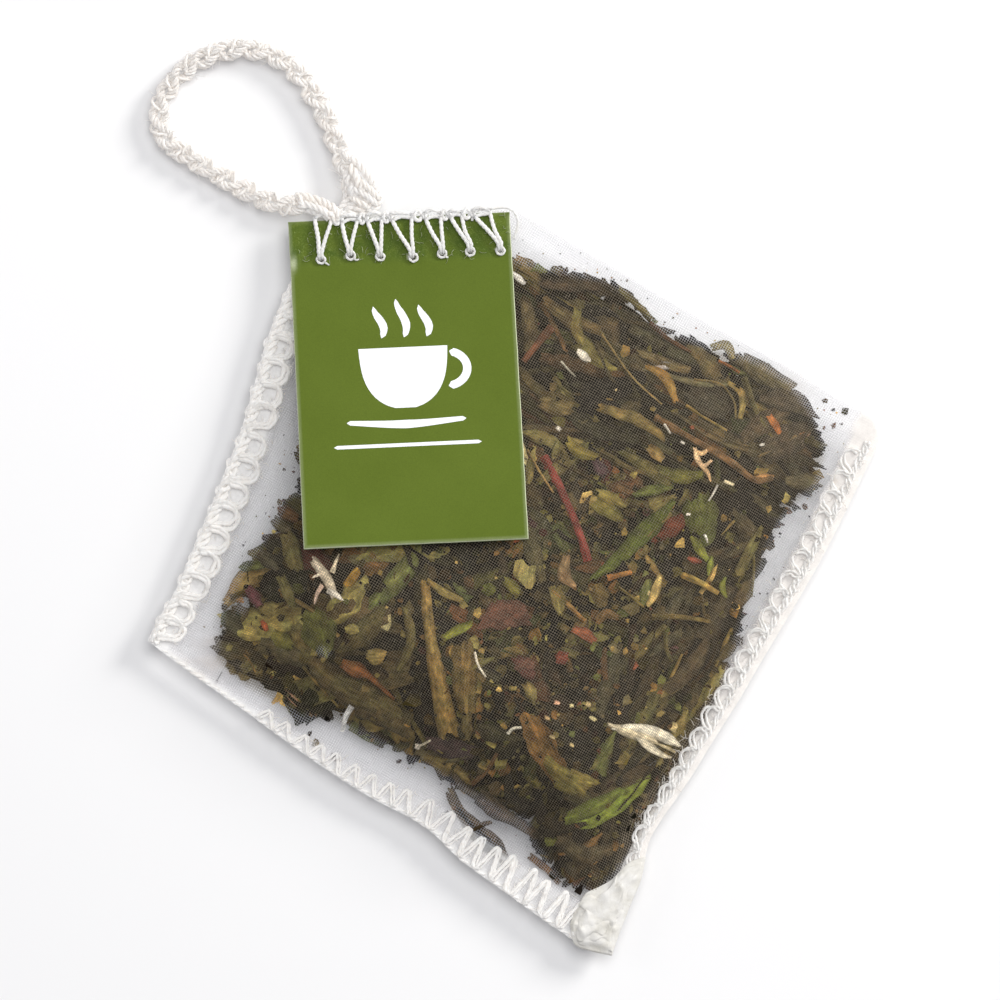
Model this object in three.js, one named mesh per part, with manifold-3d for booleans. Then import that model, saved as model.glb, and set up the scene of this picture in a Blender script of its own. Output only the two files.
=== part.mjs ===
// Flat stitched mesh tea pouch with a paper tag, a thread hanging loop and whole-leaf tea inside.
// Units are millimetres, +Z is up. The pouch lies on its back panel at z = 0.
// +Y runs along the tag towards the hanging loop, +X to the right of the tag.
// The pouch is one sheet of woven mesh folded along one edge; the other edges are overlock stitched.
import * as THREE from "three";
import { mergeVertices } from "three/addons/utils/BufferGeometryUtils.js";
import Module from "manifold-3d";

// ---------- driving dimensions ----------
const SHEET = 0.15; // mesh thickness
const PANEL_HALF_GAP = 0.2; // each panel's mid surface to the seam plane
const SEAM_Z = 2.2; // height of the seam plane above the table
const SEAM_W = 5.2; // width of the flat stitched margin
const BULGE = 8.4; // rise of the front panel above the seam plane
const NEEDLE_IN = 4.0; // needle line, in from the cloth edge
const THREAD_R = 0.25; // sewing thread
const GAP = 0.15; // clearance between thread and cloth or card
const HOLE = 1.1; // needle hole, square
const PITCH_LEFT = 3.2;
const PITCH_BOTTOM = 2.5;
const PITCH_RIGHT = 3.0;
const TAG_W = 25.4;
const TAG_L = 38.1;
const TAG_T = 0.35;
const TAG_X0 = -24.4; // left edge of the tag
const TAG_TOP_Y = 42.98; // upper edge of the tag
const TAG_SLOPE_0 = 0.05;
const TAG_SLOPE_1 = 0.27;
const TAG_BEND = 14; // the card bends up over this length
const CORD_R = 1.15; // hanging loop, plaited thread
const LEAF_CLEAR = 0.3; // leaf to mesh
const BED_BELOW = 1.65; // top of the loose bed below the front panel
const ORIGIN_SHIFT = [-0.13, -0.91, 0]; // puts the origin under the middle of the pouch and tag

// Outline of the cloth, one list for each edge, x and y.
const LEFT = [[-41.66, -5.48], [-39.12, -0.19], [-36.49, 4.52], [-33.91, 10.62], [-30.91, 18.42], [-28.81, 24.08], [-26.45, 30.65], [-24.25, 35.95], [-20.93, 43.17]];
const BOTTOM = [[-41.66, -5.48], [-36.99, -8.92], [-31.07, -12.98], [-25.52, -17.38], [-19.39, -21.68], [-12.91, -26.0], [-7.83, -30.61], [-2.28, -35.12], [3.07, -38.93], [8.44, -42.28]];
const RIGHT = [[8.44, -42.28], [9.82, -39.92], [12.5, -34.06], [14.48, -28.51], [19.51, -21.49], [23.36, -15.34], [27.46, -8.62], [32.65, -0.8], [36.86, 5.79], [41.34, 13.3], [41.69, 15.82]];
const FOLD = [[1.97, 43.28], [6.67, 40.19], [13.37, 35.74], [22.31, 29.93], [31.25, 24.23], [36.84, 20.52], [40.42, 18.29], [41.69, 15.82]];
const TOP = [[-20.93, 43.17], [1.97, 43.28]];

// Needle points of the tag stitch, and where each stitch's two legs meet the top edge.
const KNOTS = [[-20.91, 38.56], [-17.56, 38.87], [-14.12, 38.6], [-10.45, 38.32], [-6.98, 38.62], [-3.76, 38.71], [-0.31, 38.66]];
const LEGS = [[-21.4, -19.47], [-18.32, -16.49], [-15.45, -13.73], [-12.69, -10.28], [-8.78, -6.96], [-5.93, -4.55], [-3.28, -1.27]];

// Centre line of the hanging loop, x, y and z.
const CORD = [[-22.3, 44.75, 2.3], [-24.33, 44.95, 2.0], [-26.73, 45.55, 1.55], [-28.87, 46.65, 1.25], [-31.01, 48.03, 1.18], [-33.14, 49.34, 1.18], [-35.28, 50.87, 1.18], [-37.2, 52.27, 1.18], [-38.55, 53.87, 1.18], [-38.85, 56.09, 1.18], [-38.03, 58.46, 1.18], [-36.5, 60.39, 1.18], [-34.58, 61.82, 1.18], [-32.32, 62.83, 1.18], [-29.88, 63.28, 1.18], [-27.6, 63.08, 1.18], [-25.41, 62.31, 1.18], [-23.49, 61.02, 1.18], [-21.91, 59.29, 1.18], [-20.75, 57.26, 1.18], [-19.75, 55.11, 1.18], [-18.95, 52.98, 1.18], [-18.3, 50.86, 1.25], [-17.6, 48.97, 1.55], [-16.95, 47.3, 2.0], [-16.5, 45.7, 2.3]];

// Outline of the loose tea in the pouch, x and y.
const BED = [[1.32, 36.52], [4.2, 33.4], [10.2, 30.6], [15.0, 27.6], [21.14, 24.4], [27.4, 21.6], [32.4, 17.2], [33.0, 13.2], [30.6, 8.4], [26.4, 0.51], [22.0, -7.92], [16.4, -14.8], [11.2, -20.8], [6.0, -25.5], [2.6, -25.6], [-1.5, -22.4], [-6.53, -20.4], [-14.36, -15.2], [-19.97, -11.6], [-25.66, -8.6], [-30.6, -5.6], [-32.0, -3.6], [-32.0, -0.14], [-28.6, 4.31], [-25.0, 12.2], [-22.5, 20.19], [-18.6, 29.0], [-12.0, 33.4]];

// The larger pieces of leaf, stem and petal that lie against the front panel:
// name, kind, centre line, width at each point (a stem has one diameter), thickness, colour.
const PIECES = [
  ["red_stem", "stem", [[3.55, 14.67], [5.34, 11.02], [7.28, 5.53], [8.07, 2.61]], [1.15], 1.1, "#8a3a34"],
  ["green_lance_leaf", "leaf", [[18.13, 8.95], [15.6, 6.41], [10.45, 1.93], [8.32, 0.53]], [0.69, 2.3, 1.61, 0.69], 0.5, "#4a5a2a"],
  ["green_broad_leaf", "leaf", [[20.69, 9.41], [20.95, 7.55], [21.19, 5.36]], [2.99, 4.37, 2.99], 0.5, "#4e5a30"],
  ["upper_green_blade", "leaf", [[13.57, 9.84], [16.01, 10.31], [18.09, 10.56]], [0.69, 1.38, 0.57], 0.5, "#4c5a32"],
  ["tan_curl_chip", "leaf", [[5.68, 3.3], [5.24, 1.13], [6.44, -0.3]], [0.92, 1.61, 0.69], 0.6, "#8d7258"],
  ["orange_stem", "stem", [[10.16, 0.56], [12.95, 1.13]], [0.69], 0.7, "#b07a48"],
  ["cream_twin_stem", "leaf", [[16.14, 0.52], [15.22, -1.97], [14.61, -2.75]], [0.57, 1.03, 0.57], 0.5, "#cfb47c"],
  ["tan_stem", "stem", [[18.67, 0.52], [20.59, -0.37], [22.71, -1.73]], [0.8], 0.8, "#a98f52"],
  ["small_green_leaf_a", "leaf", [[22.18, 2.43], [21.93, 1.29], [21.65, 0.27]], [0.34, 0.8, 0.34], 0.4, "#6a7a3c"],
  ["small_green_leaf_b", "leaf", [[23.71, -0.05], [23.26, -1.07], [23.72, -2.35]], [0.34, 0.69, 0.34], 0.4, "#6a7a3c"],
  ["pale_square_chip", "leaf", [[1.39, 2.57], [1.1, 1.32], [0.94, 0.18]], [3.22, 3.1, 1.61], 0.5, "#9a9262"],
  ["green_disc_chip", "leaf", [[-4.02, 0.06], [-3.33, -0.09], [-2.65, -0.35]], [0.92, 1.61, 0.92], 0.4, "#55622e"],
  ["narrow_tan_leaf", "leaf", [[4.15, -0.08], [4.53, -1.83], [4.68, -3.56]], [1.61, 1.61, 0.46], 0.5, "#7a6c44"],
  ["maroon_chip", "leaf", [[-4.07, -3.74], [-2.21, -3.13], [-0.36, -2.99], [1.13, -3.17]], [1.61, 3.22, 2.99, 2.07], 0.7, "#6e4a3c"],
  ["orange_chip", "leaf", [[6.11, -5.01], [7.35, -5.64], [8.34, -6.6]], [0.92, 1.38, 0.8], 0.5, "#96573a"],
  ["brown_curl_chip", "leaf", [[8.79, -4.32], [9.86, -3.45], [11.22, -3.97]], [0.92, 1.15, 0.69], 0.6, "#76593a"],
  ["olive_long_stem", "stem", [[15.01, -4.09], [18.0, -4.22], [21.64, -4.96]], [0.69], 0.7, "#6c5c34"],
  ["curved_small_stem", "stem", [[16.54, -5.94], [16.56, -7.9], [17.07, -9.3]], [0.57], 0.6, "#6c6440"],
  ["red_chip", "leaf", [[3.88, -8.47], [4.58, -8.27], [5.28, -8.07]], [0.92, 1.49, 0.92], 0.5, "#8a4636"],
  ["maroon_round_chip", "leaf", [[-0.62, -8.84], [0.4, -9.0], [1.43, -9.28]], [1.15, 2.3, 1.38], 0.6, "#6c4a3e"],
  ["straw_stem", "leaf", [[-10.53, 1.16], [-10.33, -3.68], [-9.38, -11.55], [-8.58, -16.77]], [1.26, 1.49, 2.3, 2.76], 1.1, "#8b7446"],
  ["broad_tan_leaf", "leaf", [[-6.61, -6.27], [-6.52, -9.38], [-6.48, -13.75]], [2.53, 2.99, 2.07], 0.5, "#6e5c38"],
  ["green_blade_small", "leaf", [[-8.75, -5.37], [-7.22, -4.63], [-5.46, -3.91]], [0.8, 1.03, 0.69], 0.5, "#73813e"],
  ["big_green_leaf", "leaf", [[-23.66, -1.7], [-22.85, -4.27], [-22.27, -6.59]], [2.3, 4.37, 1.84], 0.5, "#5a6436"],
  ["light_green_leaf", "leaf", [[-28.37, -4.13], [-27.15, -5.11], [-26.15, -5.96]], [1.15, 2.07, 0.92], 0.5, "#6d7440"],
  ["brown_spoon_leaf", "leaf", [[-20.48, -7.83], [-19.36, -8.45], [-17.89, -9.09], [-16.35, -10.54], [-14.81, -12.11]], [1.03, 1.95, 0.69, 0.46, 0.34], 0.5, "#7d5232"],
  ["tan_disc", "leaf", [[-17.58, -7.15], [-16.54, -7.2], [-15.51, -7.25]], [1.38, 1.95, 1.38], 0.6, "#a08a58"],
  ["tan_ring_chip", "leaf", [[-19.73, -3.83], [-19.04, -3.98], [-18.48, -4.23]], [0.92, 1.38, 0.8], 0.5, "#8f8250"],
  ["dark_olive_stem", "leaf", [[-12.94, -1.38], [-12.45, -5.66], [-14.09, -9.04]], [1.03, 1.38, 0.92], 0.8, "#5a5232"],
  ["golden_stub", "leaf", [[-18.05, 2.65], [-18.78, 1.88], [-19.51, 0.99]], [1.03, 1.15, 1.03], 0.8, "#a07a34"],
  ["star_petal", "leaf", [[-23.05, 4.03], [-21.76, 2.01], [-20.95, -0.33]], [1.15, 1.49, 0.92], 0.5, "#dbcbb0"],
  ["olive_side_leaf", "leaf", [[-26.35, 7.4], [-25.65, 5.07], [-25.06, 2.97]], [1.61, 2.3, 1.38], 0.6, "#6a6440"],
  ["olive_side_leaf_b", "leaf", [[-27.04, 2.25], [-26.32, 0.49], [-25.82, -1.14]], [1.15, 1.38, 0.69], 0.5, "#6a6440"],
  ["large_olive_leaf", "leaf", [[-22.96, -9.09], [-19.26, -11.22], [-14.43, -13.97]], [1.84, 2.99, 2.3], 0.5, "#5f5536"],
  ["tan_orange_leaf", "leaf", [[0.49, -14.76], [1.83, -18.04], [3.65, -21.12]], [1.84, 3.45, 2.53], 0.6, "#806038"],
  ["forked_cream_petal", "leaf", [[9.63, -16.1], [12.34, -17.26], [14.93, -18.52]], [0.46, 1.72, 1.03], 0.5, "#d8c9a8"],
  ["bright_green_blade", "leaf", [[4.31, -26.79], [7.82, -25.56], [10.66, -23.97]], [1.49, 2.3, 1.15], 0.5, "#5f7238"],
  ["forked_dark_twig", "leaf", [[-8.53, -20.79], [-7.47, -22.68], [-5.8, -24.03]], [0.57, 0.8, 0.92], 0.3, "#4a4032"],
  ["brown_main_stem", "stem", [[16.5, 18.57], [21.42, 15.36], [25.32, 12.65], [27.54, 10.93], [29.51, 11.08]], [0.92], 0.9, "#74583c"],
  ["tan_blade", "leaf", [[15.74, 24.59], [17.97, 23.11], [18.99, 20.18]], [0.69, 1.26, 0.69], 0.5, "#8a6c3a"],
  ["upright_olive_leaf", "leaf", [[8.35, 31.6], [8.12, 29.19], [8.72, 27.21]], [0.92, 1.49, 1.03], 0.5, "#6c6238"],
  ["red_twig", "stem", [[5.26, 29.55], [3.33, 27.45], [1.75, 25.68]], [1.03], 1.0, "#70432c"],
  ["dark_long_leaf", "leaf", [[4.11, 34.67], [7.78, 34.27], [11.0, 34.35]], [0.92, 1.38, 1.61], 0.5, "#3c3228"],
  ["big_twisted_leaf", "leaf", [[10.47, 27.59], [12.81, 23.57], [14.76, 20.84]], [1.38, 2.53, 1.15], 0.5, "#4a4228"],
  ["tan_olive_leaf", "leaf", [[3.17, 21.48], [5.32, 20.69], [7.48, 20.02]], [1.84, 2.76, 1.61], 0.5, "#66593a"],
  ["dark_oval_leaf", "leaf", [[20.56, 21.84], [22.79, 20.36], [25.25, 18.63]], [2.3, 3.91, 2.3], 0.6, "#3b352b"],
  ["right_dark_leaf", "leaf", [[28.49, 14.11], [31.07, 15.15], [33.64, 16.07]], [2.99, 3.91, 2.76], 0.6, "#3d3429"],
  ["olive_top_leaf", "leaf", [[26.47, 25.25], [29.47, 23.04], [32.49, 21.07]], [1.61, 2.53, 1.84], 0.5, "#4c4530"],
];

// ---------- helpers ----------
const wasm = await Module();
wasm.setup();

// A triangle mesh as a closed manifold-3d solid.
function toSolid(geometry) {
  const g = (geometry.index ? geometry.toNonIndexed() : geometry).clone();
  g.deleteAttribute("normal");
  g.deleteAttribute("uv");
  const m = mergeVertices(g, 1e-4);
  return new wasm.Manifold(
    new wasm.Mesh({
      numProp: 3,
      vertProperties: new Float32Array(m.attributes.position.array),
      triVerts: new Uint32Array(m.index.array),
    }),
  );
}

function toGeometry(solid) {
  const m = solid.getMesh();
  const g = new THREE.BufferGeometry();
  const p = new Float32Array(m.numVert * 3);
  for (let i = 0; i < m.numVert; i++)
    for (let k = 0; k < 3; k++) p[3 * i + k] = m.vertProperties[m.numProp * i + k];
  g.setAttribute("position", new THREE.BufferAttribute(p, 3));
  g.setIndex(Array.from(m.triVerts));
  g.computeVertexNormals();
  return g;
}

// A smooth curve in the plane through a list of [x, y] points.
const flatCurve = (list) =>
  list.length === 2
    ? new THREE.LineCurve3(new THREE.Vector3(...list[0], 0), new THREE.Vector3(...list[1], 0))
    : new THREE.CatmullRomCurve3(list.map(([x, y]) => new THREE.Vector3(x, y, 0)), false, "centripetal");

// A curve that turns at each of its points and is sampled exactly on them.
class Turns extends THREE.Curve {
  constructor(points) {
    super();
    this.points = points;
  }
  getPoint(t, out = new THREE.Vector3()) {
    const s = t * (this.points.length - 1);
    const i = Math.min(Math.floor(s + 1e-9), this.points.length - 2);
    return out.copy(this.points[i]).lerp(this.points[i + 1], s - i);
  }
  getPointAt(t, out) {
    return this.getPoint(t, out);
  }
  getTangentAt(t, out = new THREE.Vector3()) {
    const n = this.points.length - 1;
    const i = Math.round(t * n);
    const a = this.points[Math.max(i - 1, 0)];
    const b = this.points[i];
    const c = this.points[Math.min(i + 1, n)];
    out.set(0, 0, 0);
    if (i > 0) out.add(b.clone().sub(a).normalize());
    if (i < n) out.add(c.clone().sub(b).normalize());
    return out.normalize();
  }
  getTangent(t, out) {
    return this.getTangentAt(t, out);
  }
}

function ngon(radius, sides) {
  const s = new THREE.Shape();
  for (let i = 0; i < sides; i++) {
    const a = (2 * Math.PI * (i + 0.5)) / sides;
    if (i) s.lineTo(radius * Math.cos(a), radius * Math.sin(a));
    else s.moveTo(radius * Math.cos(a), radius * Math.sin(a));
  }
  s.closePath();
  return s;
}

// A tube of a few sides along a curve.
const tube = (curve, radius, sides, steps) =>
  new THREE.ExtrudeGeometry(ngon(radius, sides), { steps, extrudePath: curve, bevelEnabled: false });

const threadAlong = (points) => tube(new Turns(points), THREAD_R * 1.15, 4, points.length - 1);

// A sheet of the given thickness about a triangulated mid surface.
function thickSheet(points, tris, thickness) {
  const normals = points.map(() => new THREE.Vector3());
  const ab = new THREE.Vector3();
  const ac = new THREE.Vector3();
  for (const [a, b, c] of tris) {
    ab.subVectors(points[b], points[a]);
    ac.subVectors(points[c], points[a]);
    const n = new THREE.Vector3().crossVectors(ab, ac);
    for (const i of [a, b, c]) normals[i].add(n);
  }
  normals.forEach((n) => n.normalize());
  const count = points.length;
  const position = [];
  for (const side of [0.5, -0.5])
    points.forEach((p, i) => {
      const q = p.clone().addScaledVector(normals[i], side * thickness);
      position.push(q.x, q.y, q.z);
    });
  const index = [];
  const edges = new Map();
  for (const [a, b, c] of tris) {
    index.push(a, b, c, c + count, b + count, a + count);
    for (const [p, q] of [[a, b], [b, c], [c, a]]) edges.set(p + "_" + q, [p, q]);
  }
  for (const [key, [p, q]] of edges) {
    if (edges.has(q + "_" + p)) continue;
    index.push(q, p, p + count, q, p + count, q + count);
  }
  const g = new THREE.BufferGeometry();
  g.setAttribute("position", new THREE.Float32BufferAttribute(position, 3));
  g.setIndex(index);
  g.computeVertexNormals();
  return g;
}

// ---------- the pouch's shape ----------
const leftC = flatCurve(LEFT);
const bottomC = flatCurve(BOTTOM);
const rightC = flatCurve(RIGHT);
const foldC = flatCurve(FOLD);
const topC = flatCurve(TOP);

const sampled = (c, n = 28) => c.getSpacedPoints(n);
const lines = {
  left: sampled(leftC),
  bottom: sampled(bottomC),
  right: sampled(rightC),
  fold: sampled(foldC),
  top: sampled(topC, 2),
};
function distanceTo(line, x, y) {
  let best = Infinity;
  for (let i = 0; i + 1 < line.length; i++) {
    const a = line[i];
    const b = line[i + 1];
    const dx = b.x - a.x;
    const dy = b.y - a.y;
    const t = THREE.MathUtils.clamp(((x - a.x) * dx + (y - a.y) * dy) / (dx * dx + dy * dy), 0, 1);
    best = Math.min(best, Math.hypot(x - a.x - t * dx, y - a.y - t * dy));
  }
  return best;
}

// Rise of the tag's underside at a distance d below its upper edge.
function tagRise(d) {
  const t = Math.max(0, d) / TAG_BEND;
  const bend = t < 1 ? TAG_BEND * (t ** 3 - t ** 4 / 2) : TAG_BEND / 2 + (Math.max(0, d) - TAG_BEND);
  return TAG_SLOPE_0 * Math.max(0, d) + (TAG_SLOPE_1 - TAG_SLOPE_0) * bend;
}

const ramp = (d, start, length) => (d <= start ? 0 : Math.sin((Math.PI / 2) * Math.min(1, (d - start) / length)));
const ease = (d, start, length) => THREE.MathUtils.smoothstep((d - start) / length, 0, 1);

function frontZ(x, y) {
  const d = Object.fromEntries(Object.entries(lines).map(([k, l]) => [k, distanceTo(l, x, y)]));
  const f =
    ramp(d.left, SEAM_W, 16) *
    ramp(d.bottom, SEAM_W, 15) *
    ramp(d.right, SEAM_W, 13) *
    ramp(d.fold, 0, 17) *
    Math.min(1, (0.94 * tagRise(d.top)) / BULGE);
  return SEAM_Z + PANEL_HALF_GAP + BULGE * f;
}
function backZ(x, y) {
  const d = Object.fromEntries(Object.entries(lines).map(([k, l]) => [k, distanceTo(l, x, y)]));
  const g = ease(d.left, SEAM_W, 8) * ease(d.bottom, SEAM_W, 8) * ease(d.right, SEAM_W, 8) * ease(d.top, SEAM_W, 8) * ease(d.fold, 0, 9);
  return (SEAM_Z - PANEL_HALF_GAP) * (1 - g) + (SHEET / 2) * g;
}

// Grid over the outline: u from the left seam to the right one, v from the bottom seam to the fold.
const U = [0, 0.072, 0.15, 0.24, 1 / 3, 0.41, 0.49, 0.57, 0.65, 0.73, 0.8, 0.865, 0.928, 1];
const FOLD_FROM = 4; // the column where the top seam ends and the fold starts
const V = [0, 0.074, 0.14, 0.21, 0.3, 0.39, 0.48, 0.57, 0.66, 0.75, 0.84, 0.92, 1];
const upper = (u) => (u <= 1 / 3 ? topC.getPointAt(u * 3) : foldC.getPointAt((u - 1 / 3) * 1.5));
function outlinePoint(u, v) {
  const b = bottomC.getPointAt(u);
  const t = upper(u);
  const l = leftC.getPointAt(v);
  const r = rightC.getPointAt(v);
  const [e, d, a, c] = [bottomC.getPointAt(0), bottomC.getPointAt(1), upper(0), upper(1)];
  const one = (k) =>
    (1 - v) * b[k] + v * t[k] + (1 - u) * l[k] + u * r[k] -
    ((1 - u) * (1 - v) * e[k] + u * (1 - v) * d[k] + (1 - u) * v * a[k] + u * v * c[k]);
  return [one("x"), one("y")];
}

const NU = U.length;
const NV = V.length;
const sheetPoints = [];
const sheetTris = [];
const at = (side, i, j) => side * NU * NV + j * NU + i;
for (const side of [0, 1])
  for (const v of V)
    for (const u of U) {
      const [x, y] = outlinePoint(u, v);
      sheetPoints.push(new THREE.Vector3(x, y, side ? backZ(x, y) : frontZ(x, y)));
    }
const frontTris = [];
for (let j = 0; j + 1 < NV; j++)
  for (let i = 0; i + 1 < NU; i++) {
    const q = (s) => [at(s, i, j), at(s, i + 1, j), at(s, i + 1, j + 1), at(s, i, j + 1)];
    const [a, b, c, d] = q(0);
    frontTris.push([a, b, c], [a, c, d]);
    const [e, f, g, h] = q(1);
    sheetTris.push([g, f, e], [h, g, e]);
  }
sheetTris.push(...frontTris);
// The fold: a small round strip that joins the two panels.
const strip = [];
for (let i = FOLD_FROM; i < NU; i++) {
  const p = sheetPoints[at(0, i, NV - 1)];
  const u = U[i];
  const a = upper(Math.max(1 / 3, u - 0.02));
  const b = upper(Math.min(1, u + 0.02));
  const out = new THREE.Vector3(-(b.y - a.y), b.x - a.x, 0).normalize();
  strip.push(sheetPoints.length);
  sheetPoints.push(new THREE.Vector3(p.x + out.x * PANEL_HALF_GAP, p.y + out.y * PANEL_HALF_GAP, SEAM_Z));
}
for (let i = FOLD_FROM; i + 1 < NU; i++) {
  const [a, b] = [at(0, i, NV - 1), at(0, i + 1, NV - 1)];
  const [m, n] = [strip[i - FOLD_FROM], strip[i - FOLD_FROM + 1]];
  const [c, d] = [at(1, i, NV - 1), at(1, i + 1, NV - 1)];
  sheetTris.push([a, b, n], [a, n, m], [m, n, d], [m, d, c]);
}

// Height of the front panel's mid surface as built.
function builtZ(x, y) {
  for (const [a, b, c] of frontTris) {
    const [p, q, r] = [sheetPoints[a], sheetPoints[b], sheetPoints[c]];
    const det = (q.y - r.y) * (p.x - r.x) + (r.x - q.x) * (p.y - r.y);
    const s = ((q.y - r.y) * (x - r.x) + (r.x - q.x) * (y - r.y)) / det;
    const t = ((r.y - p.y) * (x - r.x) + (p.x - r.x) * (y - r.y)) / det;
    if (s > -1e-6 && t > -1e-6 && s + t < 1 + 1e-6) return s * p.z + t * q.z + (1 - s - t) * r.z;
  }
  return frontZ(x, y);
}

// ---------- stitches ----------
// A whip of thread round a cloth edge, through one needle hole for each stitch.
const needlePoints = [];
function seamThread(curve, pitch, from, to, inwardSign) {
  const length = curve.getLength();
  const count = Math.floor((length - from - to) / pitch);
  const high = PANEL_HALF_GAP + SHEET / 2 + GAP + THREAD_R;
  const points = [];
  const frameAt = (s) => {
    const u = THREE.MathUtils.clamp(s / length, 0, 1);
    const p = curve.getPointAt(u);
    const t = curve.getTangentAt(u);
    return [p, new THREE.Vector3(-t.y * inwardSign, t.x * inwardSign, 0)];
  };
  for (let i = 0; i <= count; i++) {
    const s = from + i * pitch;
    const [p, n] = frameAt(s);
    const hole = p.clone().addScaledVector(n, NEEDLE_IN);
    needlePoints.push([hole.x, hole.y]);
    points.push(new THREE.Vector3(hole.x, hole.y, SEAM_Z - high), new THREE.Vector3(hole.x, hole.y, SEAM_Z + high));
    if (i === count) break;
    const [q, m] = frameAt(s + pitch / 2);
    const edge = q.clone().addScaledVector(m, -(GAP + THREAD_R));
    points.push(new THREE.Vector3(edge.x, edge.y, SEAM_Z + high), new THREE.Vector3(edge.x, edge.y, SEAM_Z - high));
  }
  return threadAlong(points);
}
const threadLeft = seamThread(leftC, PITCH_LEFT, 6, 10, -1);
const threadBottom = seamThread(bottomC, PITCH_BOTTOM, 6, 6, 1);
const threadRight = seamThread(rightC, PITCH_RIGHT, 6, 3.5, 1);

// The tag: a card with a gentle bend, drawn in side view and extruded across its width.
const tagUnder = (y) => SEAM_Z + PANEL_HALF_GAP + SHEET / 2 + GAP + tagRise(TAG_TOP_Y - y);
const side = new THREE.Shape();
const stations = [];
let run = 0;
for (let d = 0; ; d += 2) {
  const y = TAG_TOP_Y - d;
  if (stations.length) {
    const [py, pz] = stations[stations.length - 1];
    run += Math.hypot(y - py, tagUnder(y) - pz);
  }
  stations.push([y, tagUnder(y)]);
  if (run > TAG_L) {
    const [ay, az] = stations[stations.length - 2];
    const [by, bz] = stations[stations.length - 1];
    const step = Math.hypot(by - ay, bz - az);
    const k = 1 - (run - TAG_L) / step;
    stations[stations.length - 1] = [ay + (by - ay) * k, az + (bz - az) * k];
    break;
  }
}
side.moveTo(...stations[0]);
for (const s of stations.slice(1)) side.lineTo(...s);
for (const [y, z] of stations.slice().reverse()) side.lineTo(y, z + TAG_T);
side.closePath();
const card = new THREE.ExtrudeGeometry(side, { depth: TAG_W, bevelEnabled: false, steps: 1 });
card.applyMatrix4(
  new THREE.Matrix4().makeBasis(new THREE.Vector3(0, 1, 0), new THREE.Vector3(0, 0, 1), new THREE.Vector3(1, 0, 0)),
);
card.translate(TAG_X0, 0, 0);

const pin = (x, y, height = 14) => toSolid(new THREE.BoxGeometry(HOLE, HOLE, height).translate(x, y, SEAM_Z));
let tagSolid = toSolid(card);
for (const [x, y] of KNOTS) tagSolid = tagSolid.subtract(pin(x, y));

// The tag stitch: two legs from each needle hole to the top edge, a peg through card and cloth, and a run behind.
const edgeY = 43.28 + GAP + THREAD_R;
const cardTop = (y) => tagUnder(Math.min(y, TAG_TOP_Y)) + TAG_T + GAP + THREAD_R;
const front = [];
KNOTS.forEach(([x, y], i) => {
  const [l, r] = LEGS[i];
  front.push(new THREE.Vector3(l, edgeY, cardTop(edgeY)), new THREE.Vector3(x, y, cardTop(y)), new THREE.Vector3(r, edgeY, cardTop(edgeY)));
  if (i + 1 < KNOTS.length) front.push(new THREE.Vector3((r + LEGS[i + 1][0]) / 2, edgeY + 0.15, SEAM_Z + 0.2));
});
const backDepth = SEAM_Z - PANEL_HALF_GAP - SHEET / 2 - GAP - THREAD_R;
const back = KNOTS.map(([x, y]) => new THREE.Vector3(x, y, backDepth));
let tagThread = toSolid(threadAlong(front)).add(toSolid(threadAlong(back)));
for (const [x, y] of KNOTS)
  tagThread = tagThread.add(toSolid(new THREE.CylinderGeometry(THREAD_R * 0.8, THREAD_R * 0.8, cardTop(y) - backDepth, 6, 1).rotateX(Math.PI / 2).translate(x + 0.02, y + 0.03, (cardTop(y) + backDepth) / 2)));

// The pouch, with a needle hole for each stitch.
let pouchSolid = toSolid(thickSheet(sheetPoints, sheetTris, SHEET));
for (const [x, y] of [...needlePoints, ...KNOTS]) pouchSolid = pouchSolid.subtract(pin(x, y, 4));

// ---------- what is inside ----------
function bedGeometry() {
  const rim = new THREE.CatmullRomCurve3(BED.map(([x, y]) => new THREE.Vector3(x, y, 0)), true, "centripetal").getSpacedPoints(28);
  rim.pop();
  const centre = [1.5, 2];
  const rings = [0.3, 0.55, 0.78, 0.92, 1];
  const n = rim.length;
  const position = [];
  const index = [];
  const put = (x, y, k, up) => {
    const [zt, zb] = [builtZ(x, y), backZ(x, y)];
    const mid = zb + 0.38 * (zt - zb);
    const q = Math.sqrt(Math.max(0, 1 - k ** 4));
    const reach = up ? Math.max(0.1, zt - BED_BELOW - mid) : Math.max(0.1, mid - zb - 0.5);
    position.push(x, y, mid + (up ? 1 : -1) * reach * q);
  };
  for (const up of [true, false]) {
    put(...centre, 0, up);
    for (const k of rings.slice(0, -1)) for (const p of rim) put(centre[0] + (p.x - centre[0]) * k, centre[1] + (p.y - centre[1]) * k, k, up);
  }
  const half = 1 + n * (rings.length - 1);
  for (const p of rim) put(p.x, p.y, 1, true);
  const id = (up, ring, i) => (ring === rings.length ? 2 * half + (i % n) : (up ? 0 : half) + (ring ? 1 + (ring - 1) * n + (i % n) : 0));
  const tri = (up, a, b, c) => (up ? index.push(a, c, b) : index.push(a, b, c));
  for (const up of [true, false])
    for (let r = 0; r < rings.length; r++)
      for (let i = 0; i < n; i++) {
        const [c, d] = [id(up, r + 1, i), id(up, r + 1, i + 1)];
        if (r === 0) tri(up, id(up, 0, 0), c, d);
        else {
          const [a, b] = [id(up, r, i), id(up, r, i + 1)];
          tri(up, a, c, d);
          tri(up, a, d, b);
        }
      }
  const g = new THREE.BufferGeometry();
  g.setAttribute("position", new THREE.Float32BufferAttribute(position, 3));
  g.setIndex(index);
  g.computeVertexNormals();
  return g;
}

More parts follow.
